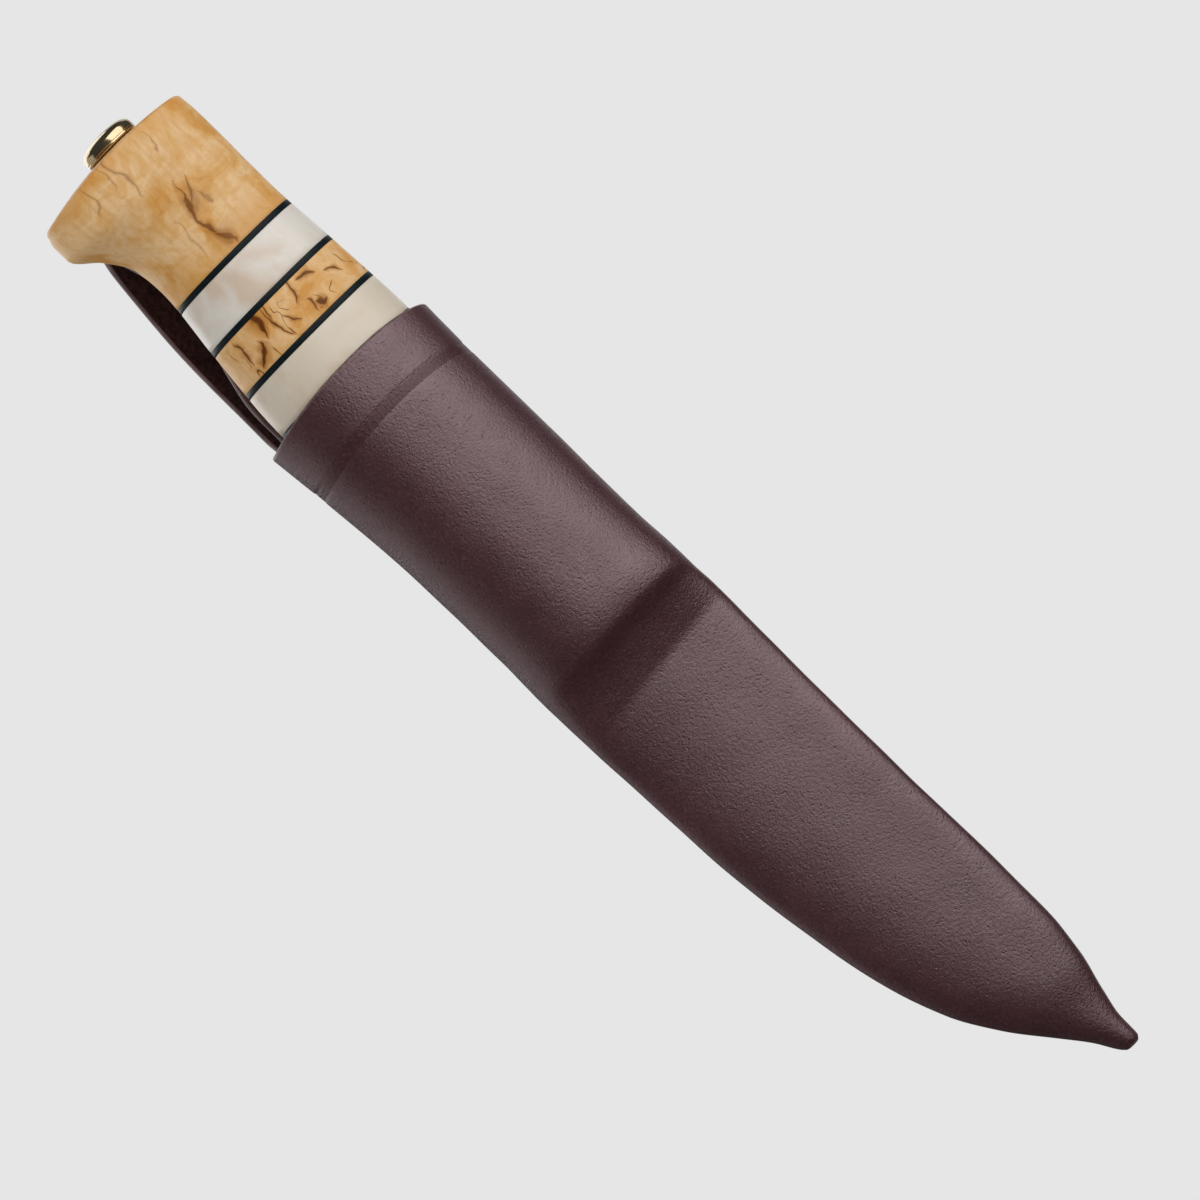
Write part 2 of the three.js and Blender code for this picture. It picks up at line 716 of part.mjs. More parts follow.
// A rivet's post: a flat head let into the inside of the sheath, and its shank out through the tails.
function rivetPost(name, side) {
  return node(
    name,
    join(
      rivetCylinder(side, RIVET_HEAD, RIVET_SEAT, RIVET_SEAT + RIVET_HEAD_HEIGHT),
      rivetCylinder(side, RIVET_SHANK, RIVET_SEAT, STACK + RIVET_SHANK_REACH),
    ),
    BRASS,
  );
}

// The rivet's cap: a low dome with a socket for the post.
function rivetCap(name, side) {
  const profile = [new THREE.Vector2(0, 0), new THREE.Vector2(RIVET_CAP, 0)];
  for (const angle of steps(0, Math.PI / 2, Math.PI / 8)) {
    const rise = (RIVET_CAP_HEIGHT - RIVET_CAP_RIM) * Math.sin(angle);
    profile.push(new THREE.Vector2(RIVET_CAP * Math.cos(angle), RIVET_CAP_RIM + rise));
  }
  const cap = new THREE.LatheGeometry(profile, 24);
  cap.translate(0, STACK, 0);
  const socket = rivetCylinder(side, RIVET_SHANK + 0.1, STACK - 1, STACK + RIVET_SHANK_REACH + 0.1);
  return node(name, cut(onRivetAxis(side, cap), socket), BRASS);
}

// ---- Assembly ----------------------------------------------------------------------------

const assembly = new THREE.Group();
assembly.add(
  knife(),
  sheathShell(),
  bladeLiner(),
  seamThread(),
  beltLoop(),
  rivetPost("rivet_post_edge_side", -1),
  rivetPost("rivet_post_spine_side", 1),
  rivetCap("rivet_cap_edge_side", -1),
  rivetCap("rivet_cap_spine_side", 1),
);

// The origin is the middle of the belt slot.
assembly.position.set(0, -(NEAR_INNER + STRAP + SLOT_DEPTH / 2), (SLOT_TOP + SLOT_BOTTOM) / 2);

const part = new THREE.Group();
part.add(assembly);
export default part;
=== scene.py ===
import math

import bmesh
import bpy
import numpy as np
from mathutils import Matrix, Vector

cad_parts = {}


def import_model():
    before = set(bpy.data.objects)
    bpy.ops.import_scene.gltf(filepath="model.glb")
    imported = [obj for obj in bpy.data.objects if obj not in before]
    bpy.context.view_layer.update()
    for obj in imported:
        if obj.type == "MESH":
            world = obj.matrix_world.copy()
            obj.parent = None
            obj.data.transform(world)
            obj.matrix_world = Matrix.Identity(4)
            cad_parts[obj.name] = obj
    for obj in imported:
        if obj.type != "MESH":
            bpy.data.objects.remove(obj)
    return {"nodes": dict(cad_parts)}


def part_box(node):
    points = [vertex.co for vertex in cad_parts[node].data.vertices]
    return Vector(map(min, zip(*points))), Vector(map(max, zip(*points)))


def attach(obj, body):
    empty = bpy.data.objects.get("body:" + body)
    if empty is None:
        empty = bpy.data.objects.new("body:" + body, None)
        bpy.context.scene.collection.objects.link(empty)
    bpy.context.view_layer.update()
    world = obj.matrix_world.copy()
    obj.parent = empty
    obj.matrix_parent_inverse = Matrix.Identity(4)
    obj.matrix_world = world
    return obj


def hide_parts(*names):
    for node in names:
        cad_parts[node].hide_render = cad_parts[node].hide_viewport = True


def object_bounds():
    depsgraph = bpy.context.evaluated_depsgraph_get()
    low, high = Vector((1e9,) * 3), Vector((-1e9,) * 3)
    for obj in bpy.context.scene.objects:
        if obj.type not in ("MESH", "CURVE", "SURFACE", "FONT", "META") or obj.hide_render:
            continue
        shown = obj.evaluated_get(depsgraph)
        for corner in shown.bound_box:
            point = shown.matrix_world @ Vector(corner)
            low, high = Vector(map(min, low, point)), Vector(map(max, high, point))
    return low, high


# A whittling knife in its wet-formed leather sheath. Distances along the knife are written s, in
# millimetres down from the pommel's end; x is across, spine side positive; d is the depth behind
# the knife's middle plane, so the sheath's smooth front has negative d.
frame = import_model()
CAD_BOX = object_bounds()

MM = 0.001
SHEATH_END = 230.0
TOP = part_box("sheath_shell")[0].z + SHEATH_END * MM
PLANE = (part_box("blade")[0].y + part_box("blade")[1].y) / 2


def point(s, x, d):
    """A place on the knife, in metres in the row's frame."""
    return (x * MM, PLANE + d * MM, TOP - s * MM)


# ---- Outlines ------------------------------------------------------------------------------

# Handle: s, spine side, edge side, half depth
HANDLE = [
    (0, 14.2, -18.7, 11.5),
    (3, 14.4, -19.2, 11.7),
    (8, 14.5, -19.2, 11.6),
    (12.5, 14.5, -15.1, 11.1),
    (17.5, 14.4, -12.2, 10.6),
    (23, 14.4, -11.7, 10.5),
    (36.7, 15.1, -13.2, 11.3),
    (55, 15.8, -14.8, 12.1),
    (66, 15.8, -14.8, 12.1),
    (84, 15.7, -13.8, 11.7),
    (100, 15.4, -13.2, 11.0),
    (112, 14.8, -12.6, 9.9),
    (116, 13.9, -11.8, 9.0),
]
HANDLE_SQUARE = 2.25

# Sheath: s, spine side, edge side, front depth, back depth, squareness by the spine, by the edge,
# x of the deepest line
SHEATH = [
    (56, 18.2, -18.8, 14.6, 14.6, 2.3, 2.3, -0.3),
    (60, 18.1, -18.4, 14.6, 14.6, 2.3, 2.3, -0.2),
    (68, 18.0, -17.6, 14.5, 14.6, 2.3, 2.3, 0.2),
    (84, 18.1, -16.4, 14.2, 14.3, 2.3, 2.3, 0.8),
    (100, 18.1, -16.0, 13.7, 13.4, 2.4, 2.3, 1.0),
    (108, 18.2, -16.0, 13.5, 12.9, 2.5, 2.3, 1.2),
    (113, 18.3, -16.2, 13.4, 12.5, 2.7, 2.3, 1.5),
    (116.5, 18.3, -16.3, 12.8, 11.8, 2.9, 2.3, 2.0),
    (120, 18.4, -16.4, 9.4, 9.5, 3.5, 2.2, 2.8),
    (124, 18.6, -16.4, 7.2, 7.2, 4.4, 2.1, 3.8),
    (127, 18.6, -16.3, 6.2, 6.2, 5.2, 2.1, 4.4),
    (140, 18.5, -15.8, 6.0, 6.0, 5.8, 2.1, 5.2),
    (156, 18.3, -15.1, 6.0, 6.0, 6.0, 2.1, 5.6),
    (172, 18.4, -13.5, 5.9, 5.9, 5.8, 2.1, 6.2),
    (188, 18.7, -10.9, 5.7, 5.7, 5.2, 2.1, 7.2),
    (204, 18.7, -6.0, 5.5, 5.5, 4.4, 2.1, 8.8),
    (212, 17.9, -1.4, 5.2, 5.2, 3.2, 2.1, 9.8),
    (220, 16.0, 4.7, 3.9, 3.9, 2.5, 2.2, 11.0),
    (225, 15.0, 8.5, 3.2, 3.2, 2.2, 2.2, 11.9),
    (229, 14.9, 10.9, 2.6, 2.6, 2.2, 2.2, 12.9),
    (SHEATH_END, 14.2, 11.8, 1.9, 1.9, 2.2, 2.2, 13.1),
]
LEATHER = 2.2
MOUTH = 56.1
MOUTH_RISE = 2.3
CAVITY_END = 219.0
SLANT = 0.09
SLANT_FROM_X = 14.0


def curve(rows, column):
    """A smooth curve through the rows' s and one more column, never overshooting between them."""
    s = np.array([row[0] for row in rows], float)
    v = np.array([row[column] for row in rows], float)
    slope = np.diff(v) / np.diff(s)
    same_way = slope[:-1] * slope[1:] > 0
    total = np.where(same_way, slope[:-1] + slope[1:], 1.0)
    inner = np.where(same_way, 2 * slope[:-1] * slope[1:] / total, 0.0)
    tangent = np.concatenate([slope[:1], inner, slope[-1:]])

    def at(where):
        i = int(np.clip(np.searchsorted(s, where) - 1, 0, len(s) - 2))
        span = s[i + 1] - s[i]
        t = float(np.clip((where - s[i]) / span, 0, 1))
        rise = (v[i + 1] - v[i]) * t * t * (3 - 2 * t)
        lead = t * (1 - t) ** 2 * tangent[i]
        trail = t * t * (t - 1) * tangent[i + 1]
        return float(v[i] + rise + span * (lead + trail))

    return at


HANDLE_CURVES = [curve(HANDLE, column) for column in range(1, 4)]
SHEATH_CURVES = [curve(SHEATH, column) for column in range(1, 8)]


def handle_section(s):
    spine, edge, depth = (c(s) for c in HANDLE_CURVES)
    return spine, edge, depth, depth, HANDLE_SQUARE, HANDLE_SQUARE, (spine + edge) / 2


def sheath_section(s):
    return tuple(c(s) for c in SHEATH_CURVES)


def inset(section, by):
    spine, edge, front, back, *shape = section
    return spine - by, edge + by, front - by, back - by, *shape


def scaled(section, share):
    spine, edge, front, back, *squares, ridge = section
    sides = [ridge + (side - ridge) * share for side in (spine, edge)]
    return *sides, front * share, back * share, *squares, ridge


def smoothstep(a, b, value):
    t = np.clip((value - a) / (b - a), 0.0, 1.0)
    return t * t * (3 - 2 * t)


def steps(a, b, step):
    """Even distances from a to b, both included, no further apart than step."""
    return list(np.linspace(a, b, max(1, math.ceil(abs(b - a) / step)) + 1))


# Angles round a section, from the middle of its back. They are closest together at the quarters,
# where a squarish outline moves on most from one angle to the next.
QUARTER = np.sin(np.linspace(0, math.pi / 2, 181)[:-1]) ** 2 * math.pi / 2
ANGLES = np.concatenate([QUARTER + math.pi / 2 * quarter for quarter in (1, 2, 3, 4)])


def ring(section, fractions):
    """Points round a section, from the middle of its back by way of its edge side.

    Returns x, d, and each point's distance along the outline from the middle of the back."""
    spine, edge, front, back, square_spine, square_edge, ridge = section
    c = np.cos(ANGLES)
    w = np.sin(ANGLES)
    power = np.where(c > 0, 2 / square_spine, 2 / square_edge)
    x = ridge + np.where(c > 0, spine - ridge, edge - ridge) * np.abs(c) ** power
    d = np.where(w > 0, back, front) * np.sign(w) * np.abs(w) ** power
    x = np.append(x, x[0])
    d = np.append(d, d[0])
    along = np.concatenate([[0], np.cumsum(np.hypot(np.diff(x), np.diff(d)))])
    wanted = fractions * along[-1]
    from_seam = np.minimum(wanted, along[-1] - wanted) * np.where(fractions < 0.5, 1, -1)
    return np.interp(wanted, along, x), np.interp(wanted, along, d), from_seam


def outward(x, d):
    """Unit normals of a closed outline."""
    tx = np.roll(x, -1) - np.roll(x, 1)
    td = np.roll(d, -1) - np.roll(d, 1)
    size = np.hypot(tx, td) + 1e-9
    sign = np.sign(np.sum(x * np.roll(d, -1) - np.roll(x, -1) * d))
    return sign * td / size, -sign * tx / size


# ---- Meshes --------------------------------------------------------------------------------


def finish_mesh(name, vertices, faces, finishes, materials, sharp=35):
    mesh = bpy.data.meshes.new(name)
    mesh.from_pydata(vertices, [], faces)
    for material in materials:
        mesh.materials.append(material)
    mesh.polygons.foreach_set("material_index", finishes)
    tidy = bmesh.new()
    tidy.from_mesh(mesh)
    bmesh.ops.remove_doubles(tidy, verts=tidy.verts, dist=1e-7)
    bmesh.ops.recalc_face_normals(tidy, faces=tidy.faces)
    tidy.to_mesh(mesh)
    tidy.free()
    mesh.shade_smooth()
    mesh.set_sharp_from_angle(angle=math.radians(sharp))
    piece = bpy.data.objects.new(name, mesh)
    bpy.context.scene.collection.objects.link(piece)
    return piece


def loft(name, rings, materials, finish_of=lambda band, i: 0, ends="caps", cap_finish=0, sharp=35):
    """A mesh through rings of equally many points: closed by flat caps, or ends="loop" for a tube
    whose last ring joins its first. finish_of gives a band's or face's material number."""
    count = len(rings[0])
    vertices = [p for r in rings for p in r]
    faces = []
    finishes = []
    bands = len(rings) if ends == "loop" else len(rings) - 1
    for k in range(bands):
        a = k * count
        b = (k + 1) % len(rings) * count
        for i in range(count):
            j = (i + 1) % count
            faces.append((a + i, a + j, b + j, b + i))
            finishes.append(finish_of(k, i))
    if ends == "caps":
        for first in (0, (len(rings) - 1) * count):
            faces.append(tuple(range(first, first + count)))
            finishes.append(cap_finish)
    return finish_mesh(name, vertices, faces, finishes, materials, sharp)


def lathe(name, profile, centre, axis, material, sides=64):
    """A solid turned about an axis through centre: profile holds (radius, height) in millimetres."""
    turn = Vector((0, 0, 1)).rotation_difference(Vector(axis)).to_matrix()
    rings = []
    for radius, height in profile:
        circle = [2 * math.pi * i / sides for i in range(sides)]
        local = [Vector((radius * math.cos(a), radius * math.sin(a), height)) * MM for a in circle]
        rings.append([tuple(turn @ p + Vector(centre)) for p in local])
    return loft(name, rings, [material])


def rectangle(half_width, half_depth, count):
    """Points round a small rounded rectangle, starting in the middle of its back."""
    section = (half_width, -half_width, half_depth, half_depth, 12, 12, 0)
    x, d, _ = ring(section, np.arange(count) / count)
    return x, d


# ---- Materials -----------------------------------------------------------------------------


class Shader:
    """A node material on one Principled surface, with its coordinates in metres."""

    def __init__(self, name, **settings):
        self.material = bpy.data.materials.new(name)
        self.material.use_nodes = True
        self.tree = self.material.node_tree
        self.surface = self.tree.nodes["Principled BSDF"]
        for key, value in settings.items():
            self.surface.inputs[key.replace("_", " ")].default_value = value
        self.place = self.tree.nodes.new("ShaderNodeTexCoord").outputs["Object"]

    def add(self, kind, wires=None, values=None, **settings):
        made = self.tree.nodes.new(kind)
        for key, value in settings.items():
            setattr(made, key, value)
        for key, value in (values or {}).items():
            made.inputs[key].default_value = value
        for key, wire in (wires or {}).items():
            self.tree.links.new(wire, made.inputs[key])
        return made

    def stretched(self, scale, turn=(0, 0, 0), wire=None):
        made = self.add(
            "ShaderNodeMapping",
            {"Vector": wire or self.place},
            {"Scale": scale, "Rotation": turn},
        )
        return made.outputs["Vector"]

    def noise(self, scale, detail=2.0, wire=None, roughness=0.5):
        values = {"Scale": scale, "Detail": detail, "Roughness": roughness}
        return self.add("ShaderNodeTexNoise", {"Vector": wire or self.place}, values).outputs["Fac"]

    def cells(self, scale):
        made = self.add("ShaderNodeTexVoronoi", {"Vector": self.place}, {"Scale": scale})
        return made.outputs["Distance"]

    def ramp(self, wire, stops):
        made = self.add("ShaderNodeValToRGB", {"Fac": wire})
        elements = made.color_ramp.elements
        while len(elements) < len(stops):
            elements.new(0.5)
        for element, (position, colour) in zip(elements, stops):
            element.position = position
            element.color = (*colour, 1)
        return made.outputs["Color"]

    def grey(self, wire, low, high, start=0.0, stop=1.0):
        values = {"From Min": start, "From Max": stop, "To Min": low, "To Max": high}
        return self.add("ShaderNodeMapRange", {"Value": wire}, values).outputs["Result"]

    def feed(self, socket, value):
        """Wire a socket to another node's output, or give it a plain value."""
        if hasattr(value, "links"):
            self.tree.links.new(value, socket)
        else:
            socket.default_value = value

    def mix(self, share, first, second):
        made = self.add("ShaderNodeMix", data_type="RGBA")
        share_socket, first_socket, second_socket = (made.inputs[i] for i in (0, 6, 7))
        self.feed(share_socket, share)
        self.feed(first_socket, first)
        self.feed(second_socket, second)
        return made.outputs[2]

    def maths(self, first, second, operation="ADD"):
        made = self.add("ShaderNodeMath", operation=operation)
        self.feed(made.inputs[0], first)
        self.feed(made.inputs[1], second)
        return made.outputs[0]

    def warped(self, amount, scale, wire=None):
        """The coordinates pushed about by a noise, so that lines wander."""
        base = wire or self.place
        made = self.add("ShaderNodeTexNoise", {"Vector": base}, {"Scale": scale, "Detail": 2.0})
        centred = self.add("ShaderNodeVectorMath", {0: made.outputs["Color"]}, operation="SUBTRACT")
        centred.inputs[1].default_value = (0.5, 0.5, 0.5)
        sized = self.add("ShaderNodeVectorMath", {0: centred.outputs[0]}, operation="SCALE")
        sized.inputs["Scale"].default_value = amount
        moved = self.add("ShaderNodeVectorMath", {0: base, 1: sized.outputs[0]}, operation="ADD")
        return moved.outputs[0]

    def bump(self, layers):
        """layers: (height wire, depth in millimetres), coarse first."""
        normal = None
        for height, depth in layers:
            wires = {"Height": height}
            if normal:
                wires["Normal"] = normal
            made = self.add("ShaderNodeBump", wires, {"Strength": 1.0, "Distance": depth * MM})
            normal = made.outputs["Normal"]
        self.tree.links.new(normal, self.surface.inputs["Normal"])

    def wire(self, name, wire):
        self.tree.links.new(wire, self.surface.inputs[name])


def leather_grain(name, gloss, low, high):
    """Dyed grain: burgundy-brown, a faint mottle, a fine pebble with pale specks painted as glints and
    dark specks painted as shade, scattered small hollows darkened with painted shade, satin finish.
    """
    s = Shader(name, IOR=1.72, Specular_IOR_Level=gloss, Specular_Tint=(1.0, 0.80, 0.82, 1))
    tone = s.noise(70, 5, roughness=0.65)
    colour = s.ramp(tone, [(0.32, low), (0.68, high)])
    # Painted highlight and shade on the pebble: dark specks darken the colour as painted shade, and
    # pale pinkish-grey specks lighten it as painted glints.
    speck = s.noise(2000, 3)
    dark = s.mix(s.grey(speck, 0.0, 0.7, 0.54, 0.70), colour, (0.026, 0.007, 0.009, 1))
    light = s.mix(s.grey(speck, 0.6, 0.0, 0.28, 0.43), dark, (0.125, 0.056, 0.060, 1))
    # Pit mask: hollows in the bump whose colour is also darkened as painted shade. worn is only a noise
    # mask for where they show, not wear.
    worn = s.grey(s.noise(520, 2), 0.0, 1.0, 0.36, 0.60)
    pits_and_painted_shade = s.maths(s.grey(s.cells(1300), 1.0, 0.0, 0.10, 0.34), worn, "MULTIPLY")
    s.wire("Base Color", s.mix(s.maths(pits_and_painted_shade, 0.8, "MULTIPLY"), light, (0.020, 0.006, 0.008, 1)))
    s.wire("Roughness", s.grey(s.noise(260, 3), 0.32, 0.40, 0.3, 0.7))
    hollow = s.maths(1.0, pits_and_painted_shade, "SUBTRACT")
    s.bump([(s.noise(2000, 4, roughness=0.65), 0.130), (hollow, 0.042), (s.noise(5000, 2), 0.018)])
    return s.material


def leather_edge():
    s = Shader("leather_edge", Specular_IOR_Level=0.5)
    layers = s.noise(700, 3, s.stretched((1, 1, 0.25)))
    # The cut edge is paler than the grain: partly its own burnished colour, partly a painted highlight
    # for light caught on its corners.
    s.wire("Base Color", s.ramp(layers, [(0.3, (0.080, 0.042, 0.041)), (0.75, (0.230, 0.145, 0.138))]))
    s.wire("Roughness", s.grey(s.noise(900, 2), 0.38, 0.6))
    s.bump([(layers, 0.06), (s.noise(3600, 3), 0.03)])
    return s.material


def leather_flesh():
    s = Shader("leather_flesh", Specular_IOR_Level=0.2)
    nap = s.noise(1100, 5, s.warped(0.002, 300))
    s.wire("Base Color", s.ramp(nap, [(0.3, (0.022, 0.008, 0.007)), (0.7, (0.070, 0.030, 0.027))]))
    s.wire("Roughness", s.grey(nap, 0.8, 0.95))
    s.bump([(nap, 0.16), (s.noise(3800, 4), 0.06)])
    return s.material


def streak(s, wire, middle, length, turn, bend, width):
    """A lens-shaped streak on the front face: 1 on its line, 0 outside.

    middle is its (s, x) in millimetres, length and width its half sizes, turn its slope in degrees."""
    moved = s.add("ShaderNodeVectorMath", {0: wire}, operation="SUBTRACT")
    moved.inputs[1].default_value = point(middle[0], middle[1], 0)
    turned = s.add("ShaderNodeVectorRotate", {"Vector": moved.outputs[0]}, rotation_type="Y_AXIS")
    turned.inputs["Angle"].default_value = math.radians(turn)
    sized = s.add("ShaderNodeVectorMath", {0: turned.outputs[0]}, operation="MULTIPLY")
    sized.inputs[1].default_value = (1000 / width, 1000, 1000 / length)
    split = s.add("ShaderNodeSeparateXYZ", {0: sized.outputs[0]})
    across, depth, along = split.outputs
    square = s.maths(along, along, "MULTIPLY")
    bent = s.maths(across, s.maths(square, bend / width, "MULTIPLY"))
    room = s.maths(s.maths(1.0, square, "SUBTRACT"), 0.001, "MAXIMUM")
    share = s.maths(s.maths(bent, 0.0, "ABSOLUTE"), room, "DIVIDE")
    front = s.grey(depth, 1.0, 0.0, -2.0, 0.0)
    return s.maths(s.grey(share, 1.0, 0.0, 0.45, 1.1), front, "MULTIPLY")


def masur_flecks(s, wander):
    """Shares of dark fleck and of the stain round it: fine lines all round, dashes at the back."""
    lines = s.noise(1, 1.5, s.stretched((260, 260, 150), wire=s.warped(0.004, 170)))
    near_line = s.maths(s.maths(lines, 0.5, "SUBTRACT"), 0.0, "ABSOLUTE")
    reach = s.maths(s.grey(s.noise(170, 1, wander), 0.0, 0.026, 0.55, 0.72), 0.0005)
    away = s.maths(near_line, reach, "DIVIDE")
    dashes = s.noise(1, 1.5, s.stretched((640, 640, 240), wire=s.warped(0.004, 170)))
    depth = s.add("ShaderNodeSeparateXYZ", {0: s.place}).outputs["Y"]
    behind = s.grey(depth, 0.0, 1.0, PLANE - 2 * MM, PLANE + 3 * MM)
    dark = s.maths(s.grey(dashes, 0.0, 1.0, 0.60, 0.65), behind, "MULTIPLY")
    stain = s.maths(s.grey(dashes, 0.0, 1.0, 0.54, 0.64), behind, "MULTIPLY")
    fleck = s.maths(s.grey(away, 1.0, 0.0, 0.4, 1.0), dark, "MAXIMUM")
    return fleck, s.maths(s.grey(away, 1.0, 0.0, 0.8, 2.6), stain, "MAXIMUM")


def birch(name, flecks, streaks):
    """Curly birch: clouded figure, fine grain along the handle, streaks, and perhaps masur flecks."""
    s = Shader(name, Specular_IOR_Level=0.16)
    wander = s.warped(0.012, 80)
    cloud = s.noise(135, 4, wander, roughness=0.62)
    pale, middle, amber = (0.86, 0.575, 0.30), (0.79, 0.455, 0.170), (0.71, 0.335, 0.080)
    base = s.ramp(cloud, [(0.33, amber), (0.43, middle), (0.54, pale), (0.64, middle), (0.76, pale)])
    ends = s.add("ShaderNodeSeparateXYZ", {0: s.warped(0.006, 110)}).outputs["Z"]
    from_end = s.grey(ends, 0.75, 0.0, point(-0.5, 0, 0)[2], point(4.5, 0, 0)[2])
    deepest = 0.12 if flecks else 0.6
    to_ring = s.grey(ends, 0.0, deepest, point(21.5, 0, 0)[2], point(27.5, 0, 0)[2])
    base = s.mix(s.maths(from_end, to_ring, "MAXIMUM"), base, (0.70, 0.33, 0.075, 1))
    curl = s.noise(1, 3, s.stretched((60, 60, 300), wire=s.warped(0.006, 90)), roughness=0.6)
    base = s.mix(s.grey(curl, 0.0, 0.35, 0.54, 0.74), base, (*amber, 1))
    grain = s.noise(1, 5, s.stretched((900, 900, 50), wire=s.warped(0.002, 120)), roughness=0.6)
    base = s.mix(s.grey(grain, 0.0, 0.38, 0.48, 0.75), base, (0.62, 0.29, 0.07, 1))
    bent = s.warped(0.0035, 260)
    if flecks:
        fleck, halo = masur_flecks(s, wander)
        base = s.mix(s.maths(halo, 0.55, "MULTIPLY"), base, (0.46, 0.17, 0.035, 1))
        base = s.mix(s.maths(fleck, 0.9, "MULTIPLY"), base, (0.120, 0.030, 0.008, 1))
    for spot, length, turn, bend, width, strength in streaks:
        halo = streak(s, bent, spot, length * 1.15, turn, bend, width * 2.6)
        line = streak(s, bent, spot, length, turn, bend, width)
        base = s.mix(s.maths(halo, 0.7 * strength, "MULTIPLY"), base, (0.50, 0.195, 0.030, 1))
        base = s.mix(s.maths(line, strength, "MULTIPLY"), base, (0.150, 0.038, 0.005, 1))
    s.wire("Base Color", base)
    s.wire("Roughness", s.grey(cloud, 0.36, 0.46))
    s.bump([(cloud, 0.03), (grain, 0.012)])
    return s.material


def antler(name, light, dark):
    """Polished antler: cloudy, a little translucent, with hair-fine pores along the beam."""
    s = Shader(
        name, Specular_IOR_Level=0.5, Coat_Weight=0.15, Coat_Roughness=0.2,
        Subsurface_Weight=0.12, Subsurface_Scale=0.003, Subsurface_Radius=(1.0, 0.7, 0.5),
    )
    cloud = s.noise(85, 3, s.warped(0.016, 55))
    veil = s.noise(1, 3, s.stretched((50, 50, 190), (0, 0.5, 0), s.warped(0.006, 100)))
    base = s.ramp(cloud, [(0.34, dark), (0.50, light)])
    base = s.mix(s.grey(veil, 0.0, 0.5, 0.5, 0.72), base, (*dark, 1))
    pores = s.noise(1, 3, s.stretched((1500, 1500, 300)))
    s.wire("Base Color", s.mix(s.grey(pores, 0.0, 0.10, 0.5, 0.8), base, (0.52, 0.42, 0.33, 1)))
    s.wire("Roughness", s.grey(cloud, 0.30, 0.40))
    s.bump([(pores, 0.008)])
    return s.material


def fibre():
    s = Shader("fibre_black", Specular_IOR_Level=0.16)
    speck = s.noise(1800, 3)
    s.wire("Base Color", s.ramp(speck, [(0.35, (0.004, 0.008, 0.010)), (0.7, (0.009, 0.017, 0.020))]))
    s.wire("Roughness", s.grey(speck, 0.38, 0.52))
    s.bump([(speck, 0.008)])
    return s.material


def brass(name, worn):
    s = Shader(name, Metallic=1.0)
    cloud = s.noise(240, 4)
    s.wire("Base Color", s.ramp(cloud, [(0.3, (0.56, 0.42, 0.24)), (0.7, (0.80, 0.66, 0.43))]))
    scratch = s.noise(1, 3, s.stretched((300, 3000, 3000), (0.3, 0.4, 0.6)))
    low, high = (0.26, 0.42) if worn else (0.12, 0.22)
    s.wire("Roughness", s.grey(cloud, low, high, 0.3, 0.7))
    s.bump([(scratch, 0.006)])
    return s.material


def steel():
    s = Shader("steel_ground", Metallic=0.85)
    streaks = s.noise(1, 4, s.stretched((6000, 6000, 60)))
    cloud = s.noise(90, 3)
    base = s.ramp(cloud, [(0.3, (0.64, 0.65, 0.66)), (0.7, (0.76, 0.77, 0.78))])
    s.wire("Base Color", s.mix(s.grey(streaks, 0.0, 0.45, 0.46, 0.70), base, (0.42, 0.43, 0.44, 1)))
    s.wire("Roughness", s.grey(streaks, 0.28, 0.44, 0.35, 0.65))
    s.bump([(streaks, 0.010)])
    return s.material


def liner_plastic():
    s = Shader("liner_plastic", Specular_IOR_Level=0.45)
    grain = s.noise(1400, 3)
    s.wire("Base Color", s.ramp(grain, [(0.3, (0.012, 0.012, 0.013)), (0.7, (0.022, 0.022, 0.024))]))
    s.wire("Roughness", s.grey(grain, 0.45, 0.62))
    s.bump([(grain, 0.02)])
    return s.material


def waxed_thread():
    s = Shader("waxed_thread", Specular_IOR_Level=0.5)
    strands = s.noise(1, 3, s.stretched((5000, 5000, 1600), (0, 0.6, 0.5)))
    s.wire("Base Color", s.ramp(strands, [(0.3, (0.020, 0.011, 0.009)), (0.7, (0.070, 0.042, 0.034))]))
    s.wire("Roughness", s.grey(strands, 0.5, 0.7))
    s.bump([(strands, 0.04)])
    return s.material


GRAIN = leather_grain("leather_grain", 0.92, (0.054, 0.0155, 0.0195), (0.076, 0.0235, 0.0285))
# A darker, less glossy copy of the grain for the band between the pressed lines round the mouth:
# painted shade in the crease.
CREASE_PAINTED_SHADE = leather_grain("leather_crease_painted_shade", 0.48, (0.050, 0.0145, 0.0180), (0.070, 0.0215, 0.0260))
EDGE = leather_edge()
FLESH = leather_flesh()
# Streaks of the figure on the front: middle (s, x), half length, slope, bend, half width, strength
POMMEL_STREAKS = [
    ((16.4, 1.4), 3.0, -32, 0.4, 1.70, 0.30),
    ((24.0, 0.7), 2.8, 10, 0.5, 1.40, 0.42),
    ((15.2, 2.0), 2.6, -38, 0.8, 0.42, 0.50),
    ((17.6, 3.6), 1.8, 0, 0.2, 0.35, 0.35),
    ((19.0, -0.2), 6.2, 2, -0.9, 0.42, 0.75),
    ((24.8, 1.0), 2.2, 20, 0.5, 0.65, 0.65),
    ((4.6, 3.4), 2.0, -6, 0.8, 0.16, 0.35),
    ((4.6, -4.6), 5.6, 10, 1.0, 0.30, 0.40),
    ((3.4, -6.6), 3.0, 4, 0.4, 0.20, 0.30),
    ((21.0, -3.8), 4.0, 2, 0.3, 0.22, 0.25),
    ((5.0, -10.8), 3.4, -6, 1.8, 0.16, 0.35),
]
